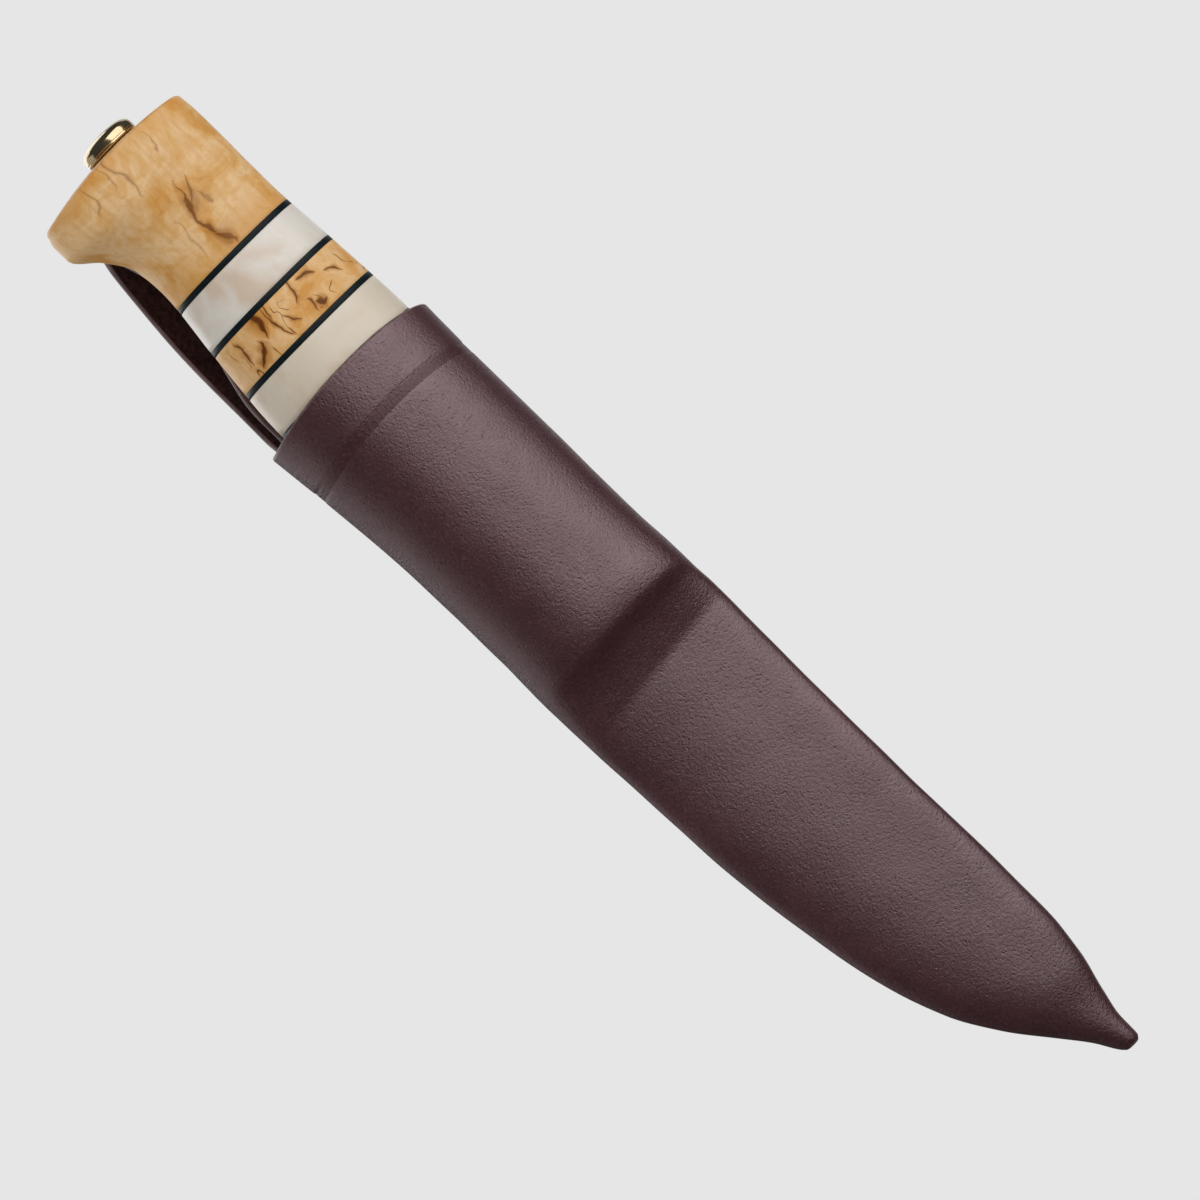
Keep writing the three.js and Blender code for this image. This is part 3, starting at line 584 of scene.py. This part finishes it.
RING_STREAKS = [
    ((41.0, 10.2), 1.6, 50, 0.4, 0.30, 0.85),
    ((38.2, 5.6), 1.8, 70, 0.5, 0.48, 0.90),
    ((43.6, 4.6), 1.2, 74, -0.3, 0.55, 0.95),
    ((43.0, 3.0), 1.4, 24, 0.4, 0.26, 0.85),
    ((39.0, 2.0), 2.4, -18, 0.6, 0.32, 0.90),
    ((42.6, -1.4), 1.6, 26, -0.4, 0.26, 0.85),
    ((38.6, -3.6), 2.6, 2, 0.5, 0.22, 0.85),
    ((41.0, -4.2), 3.4, 8, -0.4, 0.30, 0.90),
    ((38.8, -6.0), 3.2, 6, 1.5, 0.72, 1.0),
    ((43.2, -8.8), 2.4, -28, 0.4, 0.52, 1.0),
    ((40.6, -10.6), 3.0, -4, 0.3, 0.28, 0.90),
]
PLAIN_BIRCH = birch("birch_plain", False, POMMEL_STREAKS)
FLECKED_BIRCH = birch("birch_flecked", True, RING_STREAKS)
ANTLER_COOL = antler("antler_cool", (0.82, 0.765, 0.69), (0.72, 0.575, 0.45))
ANTLER_WARM = antler("antler_warm", (0.76, 0.67, 0.54), (0.70, 0.54, 0.39))
FIBRE = fibre()
BRASS_BRIGHT = brass("brass_bright", False)
BRASS_WORN = brass("brass_worn", True)
STEEL = steel()
LINER = liner_plastic()
THREAD = waxed_thread()


def place_piece(piece, body, slot, *nodes):
    """A finished piece rides on its body and stands for CAD nodes, which it hides. The slot is not
    used.
    """
    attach(piece, body)
    if nodes:
        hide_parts(*nodes)
    return piece


# ---- Handle --------------------------------------------------------------------------------

HANDLE_SIDES = 144
EVEN = np.arange(HANDLE_SIDES) / HANDLE_SIDES
SLOT_GAP = 0.3
TANG_ROD_START = 20.0
BOLSTER_END = 116.0
EDGE_BREAK = 0.06
FIRST_SPACER = 27.05
SPACER = 1.1
RING_PITCH = 9.2
FRONT_SPACER = 111.0
ROD_RADIUS = 2.0
BLADE_HALF = 1.5


def tang_half_width(s):
    return np.interp(s, [TANG_ROD_START, BOLSTER_END], [2.8, 4.5])


def handle_ring(section, s_at):
    x, d, _ = ring(section, EVEN)
    return [point(s_at(a, b), a, b) for a, b in zip(x, d)]


def tang_way(s):
    """The outline of the way that the tang takes through a handle piece."""
    if s < TANG_ROD_START:
        x, d = rectangle(ROD_RADIUS + SLOT_GAP, ROD_RADIUS + SLOT_GAP, HANDLE_SIDES)
        size = np.hypot(x, d) / (ROD_RADIUS + SLOT_GAP)
        x, d = x / size, d / size
    else:
        x, d = rectangle(tang_half_width(s) + SLOT_GAP, BLADE_HALF + SLOT_GAP, HANDLE_SIDES)
    return [point(s, a, b) for a, b in zip(x, d)]


def handle_slice(node, start, end, material, slot):
    """One piece of the stack, its outer corners just broken."""
    rings = [tang_way(start), handle_ring(inset(handle_section(start), EDGE_BREAK), lambda x, d: start)]
    for s in steps(start + EDGE_BREAK, end - EDGE_BREAK, 1.0):
        rings.append(handle_ring(handle_section(s), lambda x, d, s=s: s))
    rings.append(handle_ring(inset(handle_section(end), EDGE_BREAK), lambda x, d: end))
    rings.append(tang_way(end))
    piece = loft(node + "_shaped", rings, [material], ends="loop", sharp=50)
    return place_piece(piece, "knife", slot, node)


def pommel():
    """The end is a shallow dome with a rounded corner, the edge side has a beak."""
    radius = 75.0
    corner = 0.75
    side_start = 4.5
    end = handle_section(0)

    def dome(x, d):
        return (x * x + d * d) / (2 * radius)

    rings = [tang_way(0)]
    for share in (0.35, 0.6, 0.8):
        rings.append(handle_ring(scaled(end, share), dome))
    for turn in np.linspace(0, math.pi / 2, 7):
        inward = corner * (1 - math.sin(turn))
        drop = corner * (1 - math.cos(turn))
        rings.append(handle_ring(inset(end, inward), lambda x, d, drop=drop: dome(x, d) + drop))
    side = handle_ring(handle_section(side_start), lambda x, d: side_start)
    rim = rings[-1]
    for share in (0.33, 0.66):
        rings.append([tuple(Vector(a).lerp(Vector(b), share)) for a, b in zip(rim, side)])
    for s in steps(side_start, FIRST_SPACER - EDGE_BREAK, 0.75):
        rings.append(handle_ring(handle_section(s), lambda x, d, s=s: s))
    last = handle_section(FIRST_SPACER)
    rings.append(handle_ring(inset(last, EDGE_BREAK), lambda x, d: FIRST_SPACER))
    rings.append(tang_way(FIRST_SPACER))
    piece = loft("pommel_carved", rings, [PLAIN_BIRCH], ends="loop", sharp=50)
    return place_piece(piece, "knife", "birch", "pommel")


def tang_nut():
    """The domed brass button, with a rounded shoulder and a fine turned line."""
    radius = 5.35
    dome_start = 0.85
    dome_height = 2.28
    power = 2 / 2.8
    profile = [(4.85, 0.0), (5.2, 0.06), (5.33, 0.22), (radius, 0.5), (5.31, 0.6), (radius, 0.72)]
    for turn in np.linspace(0.03, math.pi / 2 - 0.02, 28):
        across = radius * math.cos(turn) ** power
        profile.append((across, dome_start + dome_height * math.sin(turn) ** power))
    piece = lathe("tang_button", profile, point(0, 0, 0), (0, 0, 1), BRASS_BRIGHT, 96)
    return place_piece(piece, "knife", "brass", "tang_nut")


# Blade: s, spine, edge
BLADE = [
    (116, 13.4, -10.9),
    (150, 13.5, -10.4),
    (166, 13.5, -9.4),
    (180, 13.5, -7.7),
    (192, 13.4, -5.2),
    (202, 13.1, -2.0),
    (208, 12.7, 1.0),
    (212, 12.2, 4.0),
    (214.5, 11.6, 7.4),
    (215.6, 10.9, 9.8),
]
BEVEL = 8.5
SPINE_BREAK = 0.25
CUTTING_EDGE_HALF = 0.05
POINT_THINNING = 0.7


def blade():
    """Ground blade, shoulder, stick tang and round threaded end, in one piece."""
    spine_at = curve(BLADE, 1)
    edge_at = curve(BLADE, 2)
    tip = BLADE[-1][0]

    def blade_ring(s):
        spine = spine_at(s)
        edge = edge_at(s)
        height = spine - edge
        line = edge + min(BEVEL, 0.8 * height)
        half = BLADE_HALF - POINT_THINNING * smoothstep(190, tip, s)
        flat_end = spine - SPINE_BREAK
        bevel = np.linspace(edge, line, 9)
        flat = np.linspace(line, flat_end, 13)[1:]
        heights = np.concatenate([bevel, flat, [spine - 0.12, spine]])
        corner_heights = [edge, line, flat_end, spine]
        widths = np.interp(heights, corner_heights, [CUTTING_EDGE_HALF, half, half, half - SPINE_BREAK])
        one = list(zip(heights, widths))
        other = [(h, -w) for h, w in reversed(one)]
        return [point(s, x, d) for x, d in one + other]

    count = len(blade_ring(BOLSTER_END))

    def bar_ring(s, half_width, half_depth, round_bar=False):
        angle = np.linspace(-math.pi, math.pi, count, endpoint=False) + math.pi / count
        x = np.cos(angle)
        d = np.sin(angle)
        if not round_bar:
            reach = np.maximum(np.abs(x) / half_width, np.abs(d) / half_depth)
            return [point(s, a, -b) for a, b in zip(x / reach, d / reach)]
        return [point(s, a * half_width, -b * half_depth) for a, b in zip(x, d)]

    rings = [bar_ring(-1.6, 1.6, 1.6, round_bar=True)]
    rod_places = (-1.2, 5.0, 12.0, TANG_ROD_START)
    rings += [bar_ring(s, ROD_RADIUS, ROD_RADIUS, round_bar=True) for s in rod_places]
    bar_places = (TANG_ROD_START + 0.2, 60.0, BOLSTER_END)
    rings += [bar_ring(s, tang_half_width(s), BLADE_HALF) for s in bar_places]
    stations = steps(BOLSTER_END, 190, 4) + steps(192, 210, 1.5) + steps(210.6, tip, 0.4)
    rings += [blade_ring(s) for s in stations]
    piece = loft("blade_ground", rings, [STEEL], sharp=8)
    return place_piece(piece, "knife", "steel", "blade")


def knife():
    pommel()
    tang_nut()
    blade()
    stack = [
        ("antler_ring_rear", ANTLER_COOL, "antler"),
        ("birch_ring", FLECKED_BIRCH, "birch"),
        ("antler_ring_front", ANTLER_WARM, "antler"),
    ]
    for i, (name, material, slot) in enumerate(stack):
        start = FIRST_SPACER + i * RING_PITCH
        handle_slice(f"fibre_spacer_{i + 1}", start, start + SPACER, FIBRE, "fibre")
        handle_slice(name, start + SPACER, start + RING_PITCH, material, slot)
    start = FIRST_SPACER + len(stack) * RING_PITCH
    handle_slice("fibre_spacer_4", start, start + SPACER, FIBRE, "fibre")
    handle_slice("front_grip", start + SPACER, FRONT_SPACER, PLAIN_BIRCH, "birch")
    handle_slice("fibre_spacer_5", FRONT_SPACER, FRONT_SPACER + SPACER, FIBRE, "fibre")
    handle_slice("bolster", FRONT_SPACER + SPACER, BOLSTER_END, BRASS_WORN, "brass")


# ---- Sheath --------------------------------------------------------------------------------

AROUND = 190
NEAR_SEAM = np.array([0.15, 0.3, 0.45, 0.65, 0.9, 1.2, 1.6, 2.0, 2.5]) / 100.0
FRACTIONS = np.unique(
    np.concatenate([[0.0], NEAR_SEAM, 1 - NEAR_SEAM, np.linspace(0.03, 0.97, AROUND)])
)
INNER_ROUND = 0.5
OUTER_ROUND = 0.6
LAST_ROW = 229.85
CREASE = 66.6
CREASE_GAP = 0.95
# Pressed lines round the mouth: distance from the crease, depth, half width
CREASE_LINES = [(-CREASE_GAP, 0.09, 0.34), (CREASE_GAP, 0.04, 0.34), (0.0, 0.09, 1.1)]
SEAM_LIP = 0.32
SEAM_DEPTH = 0.85
STITCH = 2.6
STITCH_REACH = 2.2
SEAM_START = 82.0
SEAM_END = 222.0


def mouth_rise(s, d, front):
    """How much higher than s the leather stands towards the front's middle, near the mouth."""
    share = np.clip(-d / front, 0, 1)
    return MOUTH_RISE * share**2 * (1 - smoothstep(70, 104, s))


def shoulder_slant(s, x, d, front):
    """How much further down the front's shoulder falls away, more towards the edge side."""
    along = smoothstep(114, 127, s) * (1 - smoothstep(130, 152, s))
    return SLANT * np.maximum(0, SLANT_FROM_X - x) * along * smoothstep(0, 0.4, -d / front)


def undulation(s, x, d):
    """The slight unevenness of leather formed by hand, in millimetres."""
    wave = math.sin(0.11 * s + 0.21 * x + 1.3) * math.sin(0.07 * s - 0.16 * d + 0.4)
    ripple = math.sin(0.31 * s - 0.27 * x + 2.0) * math.sin(0.23 * d + 0.19 * s)
    return 0.09 * wave + 0.04 * ripple


def groove(distance, width):
    return math.exp(-((distance / width) ** 2))


def sheath_relief(s, x, d, from_seam):
    """How far the finished outer surface stands out from the plain outline, in millimetres."""
    relief = undulation(s, x, d) * float(smoothstep(72, 90, s)) * float(1 - smoothstep(215, 224, s))
    for offset, depth, width in CREASE_LINES:
        relief -= depth * groove(s - CREASE - offset, width)
    seam = 1 - float(smoothstep(224, 228, s))
    relief += seam * SEAM_LIP * groove(abs(from_seam) - 1.0, 0.9)
    relief -= seam * SEAM_DEPTH * groove(from_seam, 0.28)
    return relief


def sheath_ring(s, wall=0.0, plain=False):
    section = sheath_section(s)
    x, d, from_seam = ring(inset(section, wall), FRACTIONS)
    front = section[2] - wall
    rise = mouth_rise(s, d, front) - shoulder_slant(s, x, d, front)
    if not plain:
        nx, nd = outward(x, d)
        relief = np.array([sheath_relief(s, a, b, u) for a, b, u in zip(x, d, from_seam)])
        x = x + nx * relief
        d = d + nd * relief
    return [point(s - r, a, b) for r, a, b in zip(rise, x, d)]


def sheath():
    crease_rows = steps(CREASE - 2.2, CREASE + 2.2, 0.16)
    outer_rows = (
        steps(MOUTH + 0.7, CREASE - 2.4, 0.9) + crease_rows + steps(CREASE + 2.5, 108, 1.5)
        + steps(108.7, 132, 0.7) + steps(133.4, 196, 1.6) + steps(197.2, 228, 1.1)
        + [228.7, 229.2, 229.6, LAST_ROW]
    )
    inner_rows = steps(CAVITY_END, MOUTH + 2, 3.0)
    rings = [sheath_ring(s, LEATHER, plain=True) for s in inner_rows]
    inner_count = len(rings)
    rings.append(sheath_ring(MOUTH + INNER_ROUND + 0.05, LEATHER, plain=True))
    for turn in np.linspace(0, math.pi / 2, 5):
        drop = INNER_ROUND * (1 - math.sin(turn))
        outward_by = INNER_ROUND * (1 - math.cos(turn))
        rings.append(sheath_ring(MOUTH + drop, LEATHER - outward_by, plain=True))
    for turn in np.linspace(0, math.pi / 2, 6):
        drop = OUTER_ROUND * (1 - math.cos(turn))
        inward_by = OUTER_ROUND * (1 - math.sin(turn))
        rings.append(sheath_ring(MOUTH + drop, inward_by, plain=True))
    edge_end = len(rings) - 1
    rings += [sheath_ring(s) for s in outer_rows]
    end = sheath_section(SHEATH_END)
    for share, rise in ((0.86, 0.12), (0.6, 0.16), (0.25, 0.17)):
        x, d, _ = ring(scaled(end, share), FRACTIONS)
        rings.append([point(LAST_ROW + rise, a, b) for a, b in zip(x, d)])
    cut_start = len(rings) - 5

    def finish_of(band, i):
        if band < inner_count:
            return 2
        if band < edge_end - 1 or band >= cut_start:
            return 1
        row = band - edge_end - 1
        in_crease = row >= 0 and abs(sum(outer_rows[row:row + 2]) / 2 - CREASE) < CREASE_GAP
        # The band between the pressed lines takes the darker copy of the grain, painted shade.
        return 3 if in_crease else 0

    leathers = [GRAIN, EDGE, FLESH, CREASE_PAINTED_SHADE]
    piece = loft("sheath_leather", rings, leathers, finish_of, cap_finish=2, sharp=60)
    return place_piece(piece, "sheath", "leather", "sheath_shell")


def sheath_back(s, x):
    """Depth of the sheath's outer back surface x to one side."""
    spine, edge, _, back, square_spine, square_edge, ridge = sheath_section(s)
    side, square = (spine, square_spine) if x > ridge else (edge, square_edge)
    across = (x - ridge) / (side - ridge)
    return back * (1 - min(1.0, across) ** square) ** (1 / square)


def strand(start, middle, end, radius, turns, sides=10, rows=14):
    """Rings of a twisted two-ply thread along an arc through three places."""
    a, b, c = (Vector(p) for p in (start, middle, end))
    rings = []
    for k in range(rows + 1):
        t = k / rows
        here = a * (1 - t) ** 2 + (b * 2 - (a + c) / 2) * 2 * t * (1 - t) + c * t * t
        ahead = ((b * 2 - (a + c) / 2 - a) * (1 - t) + (c - b * 2 + (a + c) / 2) * t).normalized()
        side = ahead.cross(Vector((0, 1, 0))).normalized()
        up = side.cross(ahead)
        circle = []
        for i in range(sides):
            angle = 2 * math.pi * i / sides
            size = radius * (1 + 0.16 * math.cos(2 * (angle - turns * 2 * math.pi * t)))
            circle.append(tuple(here + side * size * math.cos(angle) + up * size * math.sin(angle)))
        rings.append(circle)
    return rings


def join_pieces(name, pieces):
    """One object from several that share their material."""
    for other in bpy.context.selected_objects:
        other.select_set(False)
    for piece in pieces:
        piece.select_set(True)
    bpy.context.view_layer.objects.active = pieces[0]
    bpy.ops.object.join()
    pieces[0].name = name
    pieces[0].data.name = name
    return pieces[0]


def seam_stitches():
    """The thread crosses the seam from hole to hole, each stitch pulled down into the leather."""
    count = round((SEAM_END - SEAM_START) / STITCH)
    holes = []
    for i in range(count + 1):
        s = SEAM_START + i * (SEAM_END - SEAM_START) / count
        ridge = sheath_section(s)[-1]
        x = ridge + (1 if i % 2 == 0 else -1) * STITCH_REACH * (1 - 0.4 * i / count)
        holes.append((s, x))
    pieces = []
    for (s0, x0), (s1, x1) in zip(holes, holes[1:]):
        ends = [point(s, x, sheath_back(s, x) - 0.35) for s, x in ((s0, x0), (s1, x1))]
        s_mid = (s0 + s1) / 2
        x_mid = (x0 + x1) / 2
        middle = point(s_mid, x_mid, sheath_back(s_mid, x_mid) + 0.24)
        rings = strand(ends[0], middle, ends[1], 0.32 * MM, 2.5)
        pieces.append(loft("stitch", rings, [THREAD]))
    piece = join_pieces("seam_stitching", pieces)
    return place_piece(piece, "sheath", "thread", "seam_thread")


# ---- Belt loop -----------------------------------------------------------------------------

STRAP = 2.1
STRAP_HALF_WIDTH = 13.5
TAIL_END = 80.0
TAIL_CORNER = 3.0
LOOP_TOP = 10.6
FOLD_NARROWING = 2.4
WAIST_NARROWING = 4.6
WAIST_TOP = 22.0
WAIST_MIDDLE = 26.0
WAIST_BOTTOM = 52.0
FOLD_SPREAD = 1.2
SLOT_DEPTH = 7.0
SLOT_TOP = 18.0
SLOT_BOTTOM = 45.0
FAR_BOTTOM = 52.0
FAR_JOIN = 65.0
NEAR_INNER = 13.6
LIFT = 0.3


def bezier(a, b, c, e, count):
    t = np.linspace(0, 1, count + 1)[:, None]
    a, b, c, e = (np.array(p, float) for p in (a, b, c, e))
    return a * (1 - t) ** 3 + 3 * b * t * (1 - t) ** 2 + 3 * c * t * t * (1 - t) + e * t**3


def strap_path():
    """The strap's middle line as (s, depth), from the inner tail's end over the fold to the other's.

    Also returns how many of its points lie before the middle of the fold."""
    near = NEAR_INNER + STRAP / 2
    far = near + STRAP + SLOT_DEPTH
    middle = (near + far) / 2

    def tail(layer, top):
        lift = LIFT + STRAP / 2 + layer * (STRAP + LIFT)
        rows = [TAIL_END, TAIL_END - 0.15, TAIL_END - 0.4] + steps(TAIL_END - 0.8, top, 0.8)
        return np.array([(s, sheath_back(s, 0) + lift) for s in rows])

    def flex(tail_rows, depth, top):
        s, start = tail_rows[-1]
        lead = (s - top) / 3
        return bezier((s, start), (s - lead, start), (top + lead, depth), (top, depth), 16)

    def fold(at, bulge):
        half = (SLOT_TOP + LOOP_TOP) / 2
        return bezier((SLOT_TOP, at), (half, at), (LOOP_TOP, at + bulge), (LOOP_TOP, middle), 14)

    inner = tail(0, MOUTH)
    outer = tail(1, FAR_JOIN)
    near_side = [(s, near) for s in steps(SLOT_BOTTOM, SLOT_TOP, 1.5)[1:-1]]
    far_side = [(s, far) for s in steps(SLOT_TOP, FAR_BOTTOM, 1.5)[1:-1]]
    first = [inner, flex(inner, near, SLOT_BOTTOM)[1:], near_side, fold(near, FOLD_SPREAD)]
    over = fold(far, -FOLD_SPREAD)[::-1][1:]
    second = [over, far_side, flex(outer, far, FAR_BOTTOM)[::-1], outer[::-1][1:]]
    return np.concatenate(first + second), sum(len(part) for part in first)


def strap_section(half_width):
    """(across, through, finish) round the strap: the inside of the loop has positive through."""
    radius = 0.55
    flat = half_width - radius
    thick = STRAP / 2
    face = np.linspace(-flat, flat, 29)
    turn = np.linspace(0, math.pi, 9)[1:-1]
    loop = [(a, thick, 2) for a in face]
    loop += [(flat + radius * math.sin(t), thick * math.cos(t), 1) for t in turn]
    for a in face[::-1]:
        line = 0.16 * groove(abs(a) - (flat - 1.3), 0.3)
        loop.append((a, -thick + line, 0))
    loop += [(-flat - radius * math.sin(t), -thick * math.cos(t), 1) for t in turn]
    return loop


def near_narrowing(s):
    """How much less half width the layer behind the handle has than the tails."""
    from_fold = float(smoothstep(LOOP_TOP, WAIST_TOP, s))
    waist = FOLD_NARROWING + (WAIST_NARROWING - FOLD_NARROWING) * from_fold
    return waist * (1 - float(smoothstep(WAIST_MIDDLE, WAIST_BOTTOM, s)))


def far_narrowing(s):
    to_fold = max(0.0, SLOT_BOTTOM - s) / (SLOT_BOTTOM - LOOP_TOP)
    return FOLD_NARROWING * to_fold**2


def belt_loop():
    path, fold = strap_path()
    rings = []
    for i, (s, depth) in enumerate(path):
        before = path[max(i - 1, 0)]
        after = path[min(i + 1, len(path) - 1)]
        along = (after - before) / (np.hypot(*(after - before)) + 1e-9)
        flex_top, joined = (SLOT_BOTTOM, MOUTH) if i < fold else (FAR_BOTTOM, FAR_JOIN)
        place = max(s, joined)
        follow = float(smoothstep(flex_top, joined, s))
        corner = max(0.0, s - (TAIL_END - TAIL_CORNER)) / TAIL_CORNER
        rounded = TAIL_CORNER * (1 - math.sqrt(max(0.0, 1 - corner * corner)))
        half_width = STRAP_HALF_WIDTH - rounded - (near_narrowing(s) if i < fold else far_narrowing(s))
        sway = 0.06 * math.sin(0.35 * i)
        circle = []
        for across, through, _ in strap_section(half_width):
            dip = follow * (sheath_back(place, 0) - sheath_back(place, across))
            here_s = s + along[1] * through
            here_d = depth - dip - along[0] * through
            circle.append(point(here_s, across + sway, here_d))
        rings.append(circle)
    finishes = [finish for _, _, finish in strap_section(STRAP_HALF_WIDTH)]
    leathers = [GRAIN, EDGE, FLESH]
    piece = loft("belt_loop_strap", rings, leathers, lambda _, i: finishes[i], cap_finish=1, sharp=40)
    return place_piece(piece, "sheath", "leather", "belt_loop")


RIVET_S = 70.0
RIVET_X = 6.0


def rivet_axis(side):
    x = side * RIVET_X
    slope = (sheath_back(RIVET_S, x + 0.1) - sheath_back(RIVET_S, x - 0.1)) / 0.2
    normal = Vector((-slope, 1, 0)).normalized()
    return point(RIVET_S, x, sheath_back(RIVET_S, x)), normal


def rivet_cap(node, side):
    """A low brass dome with a rolled rim."""
    base, normal = rivet_axis(side)
    pressed_in = 0.25
    radius = 4.15
    stack = 2 * (STRAP + LIFT) + LIFT - pressed_in
    profile = [(3.2, 0.0), (3.9, 0.05), (radius, 0.2), (4.2, 0.4), (4.12, 0.62)]
    for turn in np.linspace(0.35, math.pi / 2, 8):
        profile.append((radius * math.cos(turn) + 0.12, 0.45 + 1.15 * math.sin(turn)))
    centre = tuple(Vector(base) + normal * stack * MM)
    piece = lathe(node + "_domed", profile, centre, tuple(normal), BRASS_WORN, 48)
    return place_piece(piece, "sheath", "brass", node)


knife()
sheath()
seam_stitches()
belt_loop()
rivet_cap("rivet_cap_edge_side", -1)
rivet_cap("rivet_cap_spine_side", 1)

# CAD nodes that stay: their shape is right, and they take a better material.
for node, material in (
    ("blade_liner", LINER),
    ("rivet_post_edge_side", BRASS_WORN),
    ("rivet_post_spine_side", BRASS_WORN),
):
    kept = frame["nodes"][node]
    kept.data.materials.clear()
    kept.data.materials.append(material)


# ---- Camera, lights, floor -----------------------------------------------------------------

ROLL = math.radians(11.0)
LEAN = math.radians(44.5)
DISTANCE = 1.6
AIM_S = 112.5
AIM_X = 3.2
FRAME_WIDTH = 203.39 * MM
SENSOR = 36

DOWN_KNIFE = Vector((0, 0, -1))
TO_SPINE = Vector((math.cos(ROLL), -math.sin(ROLL), 0))
TO_VIEWER = Vector((-math.sin(ROLL), -math.cos(ROLL), 0))


def camera():
    data = bpy.data.cameras.new("camera")
    data.sensor_width = SENSOR
    data.lens = SENSOR * DISTANCE / FRAME_WIDTH
    data.clip_start = 0.01
    data.clip_end = 50
    made = bpy.data.objects.new("camera", data)
    right = DOWN_KNIFE * math.cos(LEAN) + TO_SPINE * math.sin(LEAN)
    up = TO_SPINE * math.cos(LEAN) - DOWN_KNIFE * math.sin(LEAN)
    aim = Vector(point(AIM_S, 0, 0)) + TO_SPINE * AIM_X * MM
    turn = Matrix((right, up, TO_VIEWER)).transposed().to_4x4()
    made.matrix_world = Matrix.Translation(aim + TO_VIEWER * DISTANCE) @ turn
    bpy.context.scene.collection.objects.link(made)
    bpy.context.scene.camera = made


def softbox(name, spine_angle, pommel_angle, distance, size, radiance, glossy):
    """A rectangular light facing the knife's middle, its first side along the knife.

    Its direction turns from the viewer to the spine side, then towards the pommel, in degrees."""
    side = math.radians(spine_angle)
    lift = math.radians(pommel_angle)
    level = TO_SPINE * math.sin(side) + TO_VIEWER * math.cos(side)
    towards = level * math.cos(lift) - DOWN_KNIFE * math.sin(lift)
    along = (DOWN_KNIFE * math.cos(lift) + level * math.sin(lift)).normalized()
    data = bpy.data.lights.new(name, "AREA")
    data.shape = "RECTANGLE"
    data.size, data.size_y = size
    data.energy = radiance * math.pi * size[0] * size[1]
    made = bpy.data.objects.new(name, data)
    turn = Matrix((along, towards.cross(along), towards)).transposed().to_4x4()
    aim = Vector(point(AIM_S, 0, 0))
    made.matrix_world = Matrix.Translation(aim + towards * distance) @ turn
    made.visible_glossy = glossy
    bpy.context.scene.collection.objects.link(made)


BACKDROP = 0.79
IN_GLOSS = 0.05
AMBIENT_FRONT = 0.14
AMBIENT_BACK = 0.50


def world():
    """A pale backdrop to look at; it lights the knife softly and hardly shows in its gloss."""
    made = bpy.data.worlds.new("studio")
    made.use_nodes = True
    tree = made.node_tree
    background = tree.nodes["Background"]
    path = tree.nodes.new("ShaderNodeLightPath")
    place = tree.nodes.new("ShaderNodeTexCoord")
    split = tree.nodes.new("ShaderNodeSeparateXYZ")
    behind = tree.nodes.new("ShaderNodeMapRange")
    behind.inputs["From Min"].default_value = -0.2
    behind.inputs["From Max"].default_value = 0.9
    behind.inputs["To Min"].default_value = AMBIENT_FRONT
    behind.inputs["To Max"].default_value = AMBIENT_BACK
    tree.links.new(place.outputs["Generated"], split.inputs[0])
    tree.links.new(split.outputs["Y"], behind.inputs["Value"])
    strength = behind.outputs["Result"]
    for ray, value in (("Is Glossy Ray", IN_GLOSS), ("Is Camera Ray", BACKDROP)):
        choice = tree.nodes.new("ShaderNodeMix")
        choice.inputs["B"].default_value = value
        tree.links.new(path.outputs[ray], choice.inputs["Factor"])
        tree.links.new(strength, choice.inputs["A"])
        strength = choice.outputs["Result"]
    tree.links.new(strength, background.inputs["Strength"])
    background.inputs["Color"].default_value = (1, 1, 1, 1)
    bpy.context.scene.world = made


def floor():
    """A pale round floor well below the hanging knife, as bright as the backdrop."""
    radius = 1.4
    drop = 0.42
    mesh = bpy.data.meshes.new("floor")
    shape = bmesh.new()
    bmesh.ops.create_circle(shape, cap_ends=True, radius=radius, segments=96)
    shape.to_mesh(mesh)
    shape.free()
    made = bpy.data.objects.new("floor", mesh)
    made.location = (0, PLANE, CAD_BOX[0][2] - drop)
    material = bpy.data.materials.new("pale_floor")
    material.use_nodes = True
    surface = material.node_tree.nodes["Principled BSDF"]
    surface.inputs["Base Color"].default_value = (0, 0, 0, 1)
    surface.inputs["Specular IOR Level"].default_value = 0
    surface.inputs["Emission Color"].default_value = (1, 1, 1, 1)
    surface.inputs["Emission Strength"].default_value = BACKDROP
    mesh.materials.append(material)
    made.visible_diffuse = False
    made.visible_glossy = False
    bpy.context.scene.collection.objects.link(made)


# Lights: name, turn to the spine side, turn to the pommel, distance, size, radiance, seen in gloss
LIGHTS = [
    ("key", 47.5, 20, 0.85, (1.28, 1.10), 1.75, True),
    ("fill", -50, 5, 1.2, (1.0, 1.0), 1.35, False),
    ("edge_strip", -108, 5, 1.0, (1.0, 1.1), 0.42, True),
    ("back_light", 205, 30, 1.0, (0.9, 0.8), 1.3, True),
    ("spine_rim", 162, 8, 1.0, (1.1, 0.6), 0.6, True),
]

camera()
world()
floor()
for light in LIGHTS:
    softbox(*light)

view = bpy.context.scene.view_settings
view.view_transform = "Standard"
view.look = "None"

bpy.context.view_layer.update()
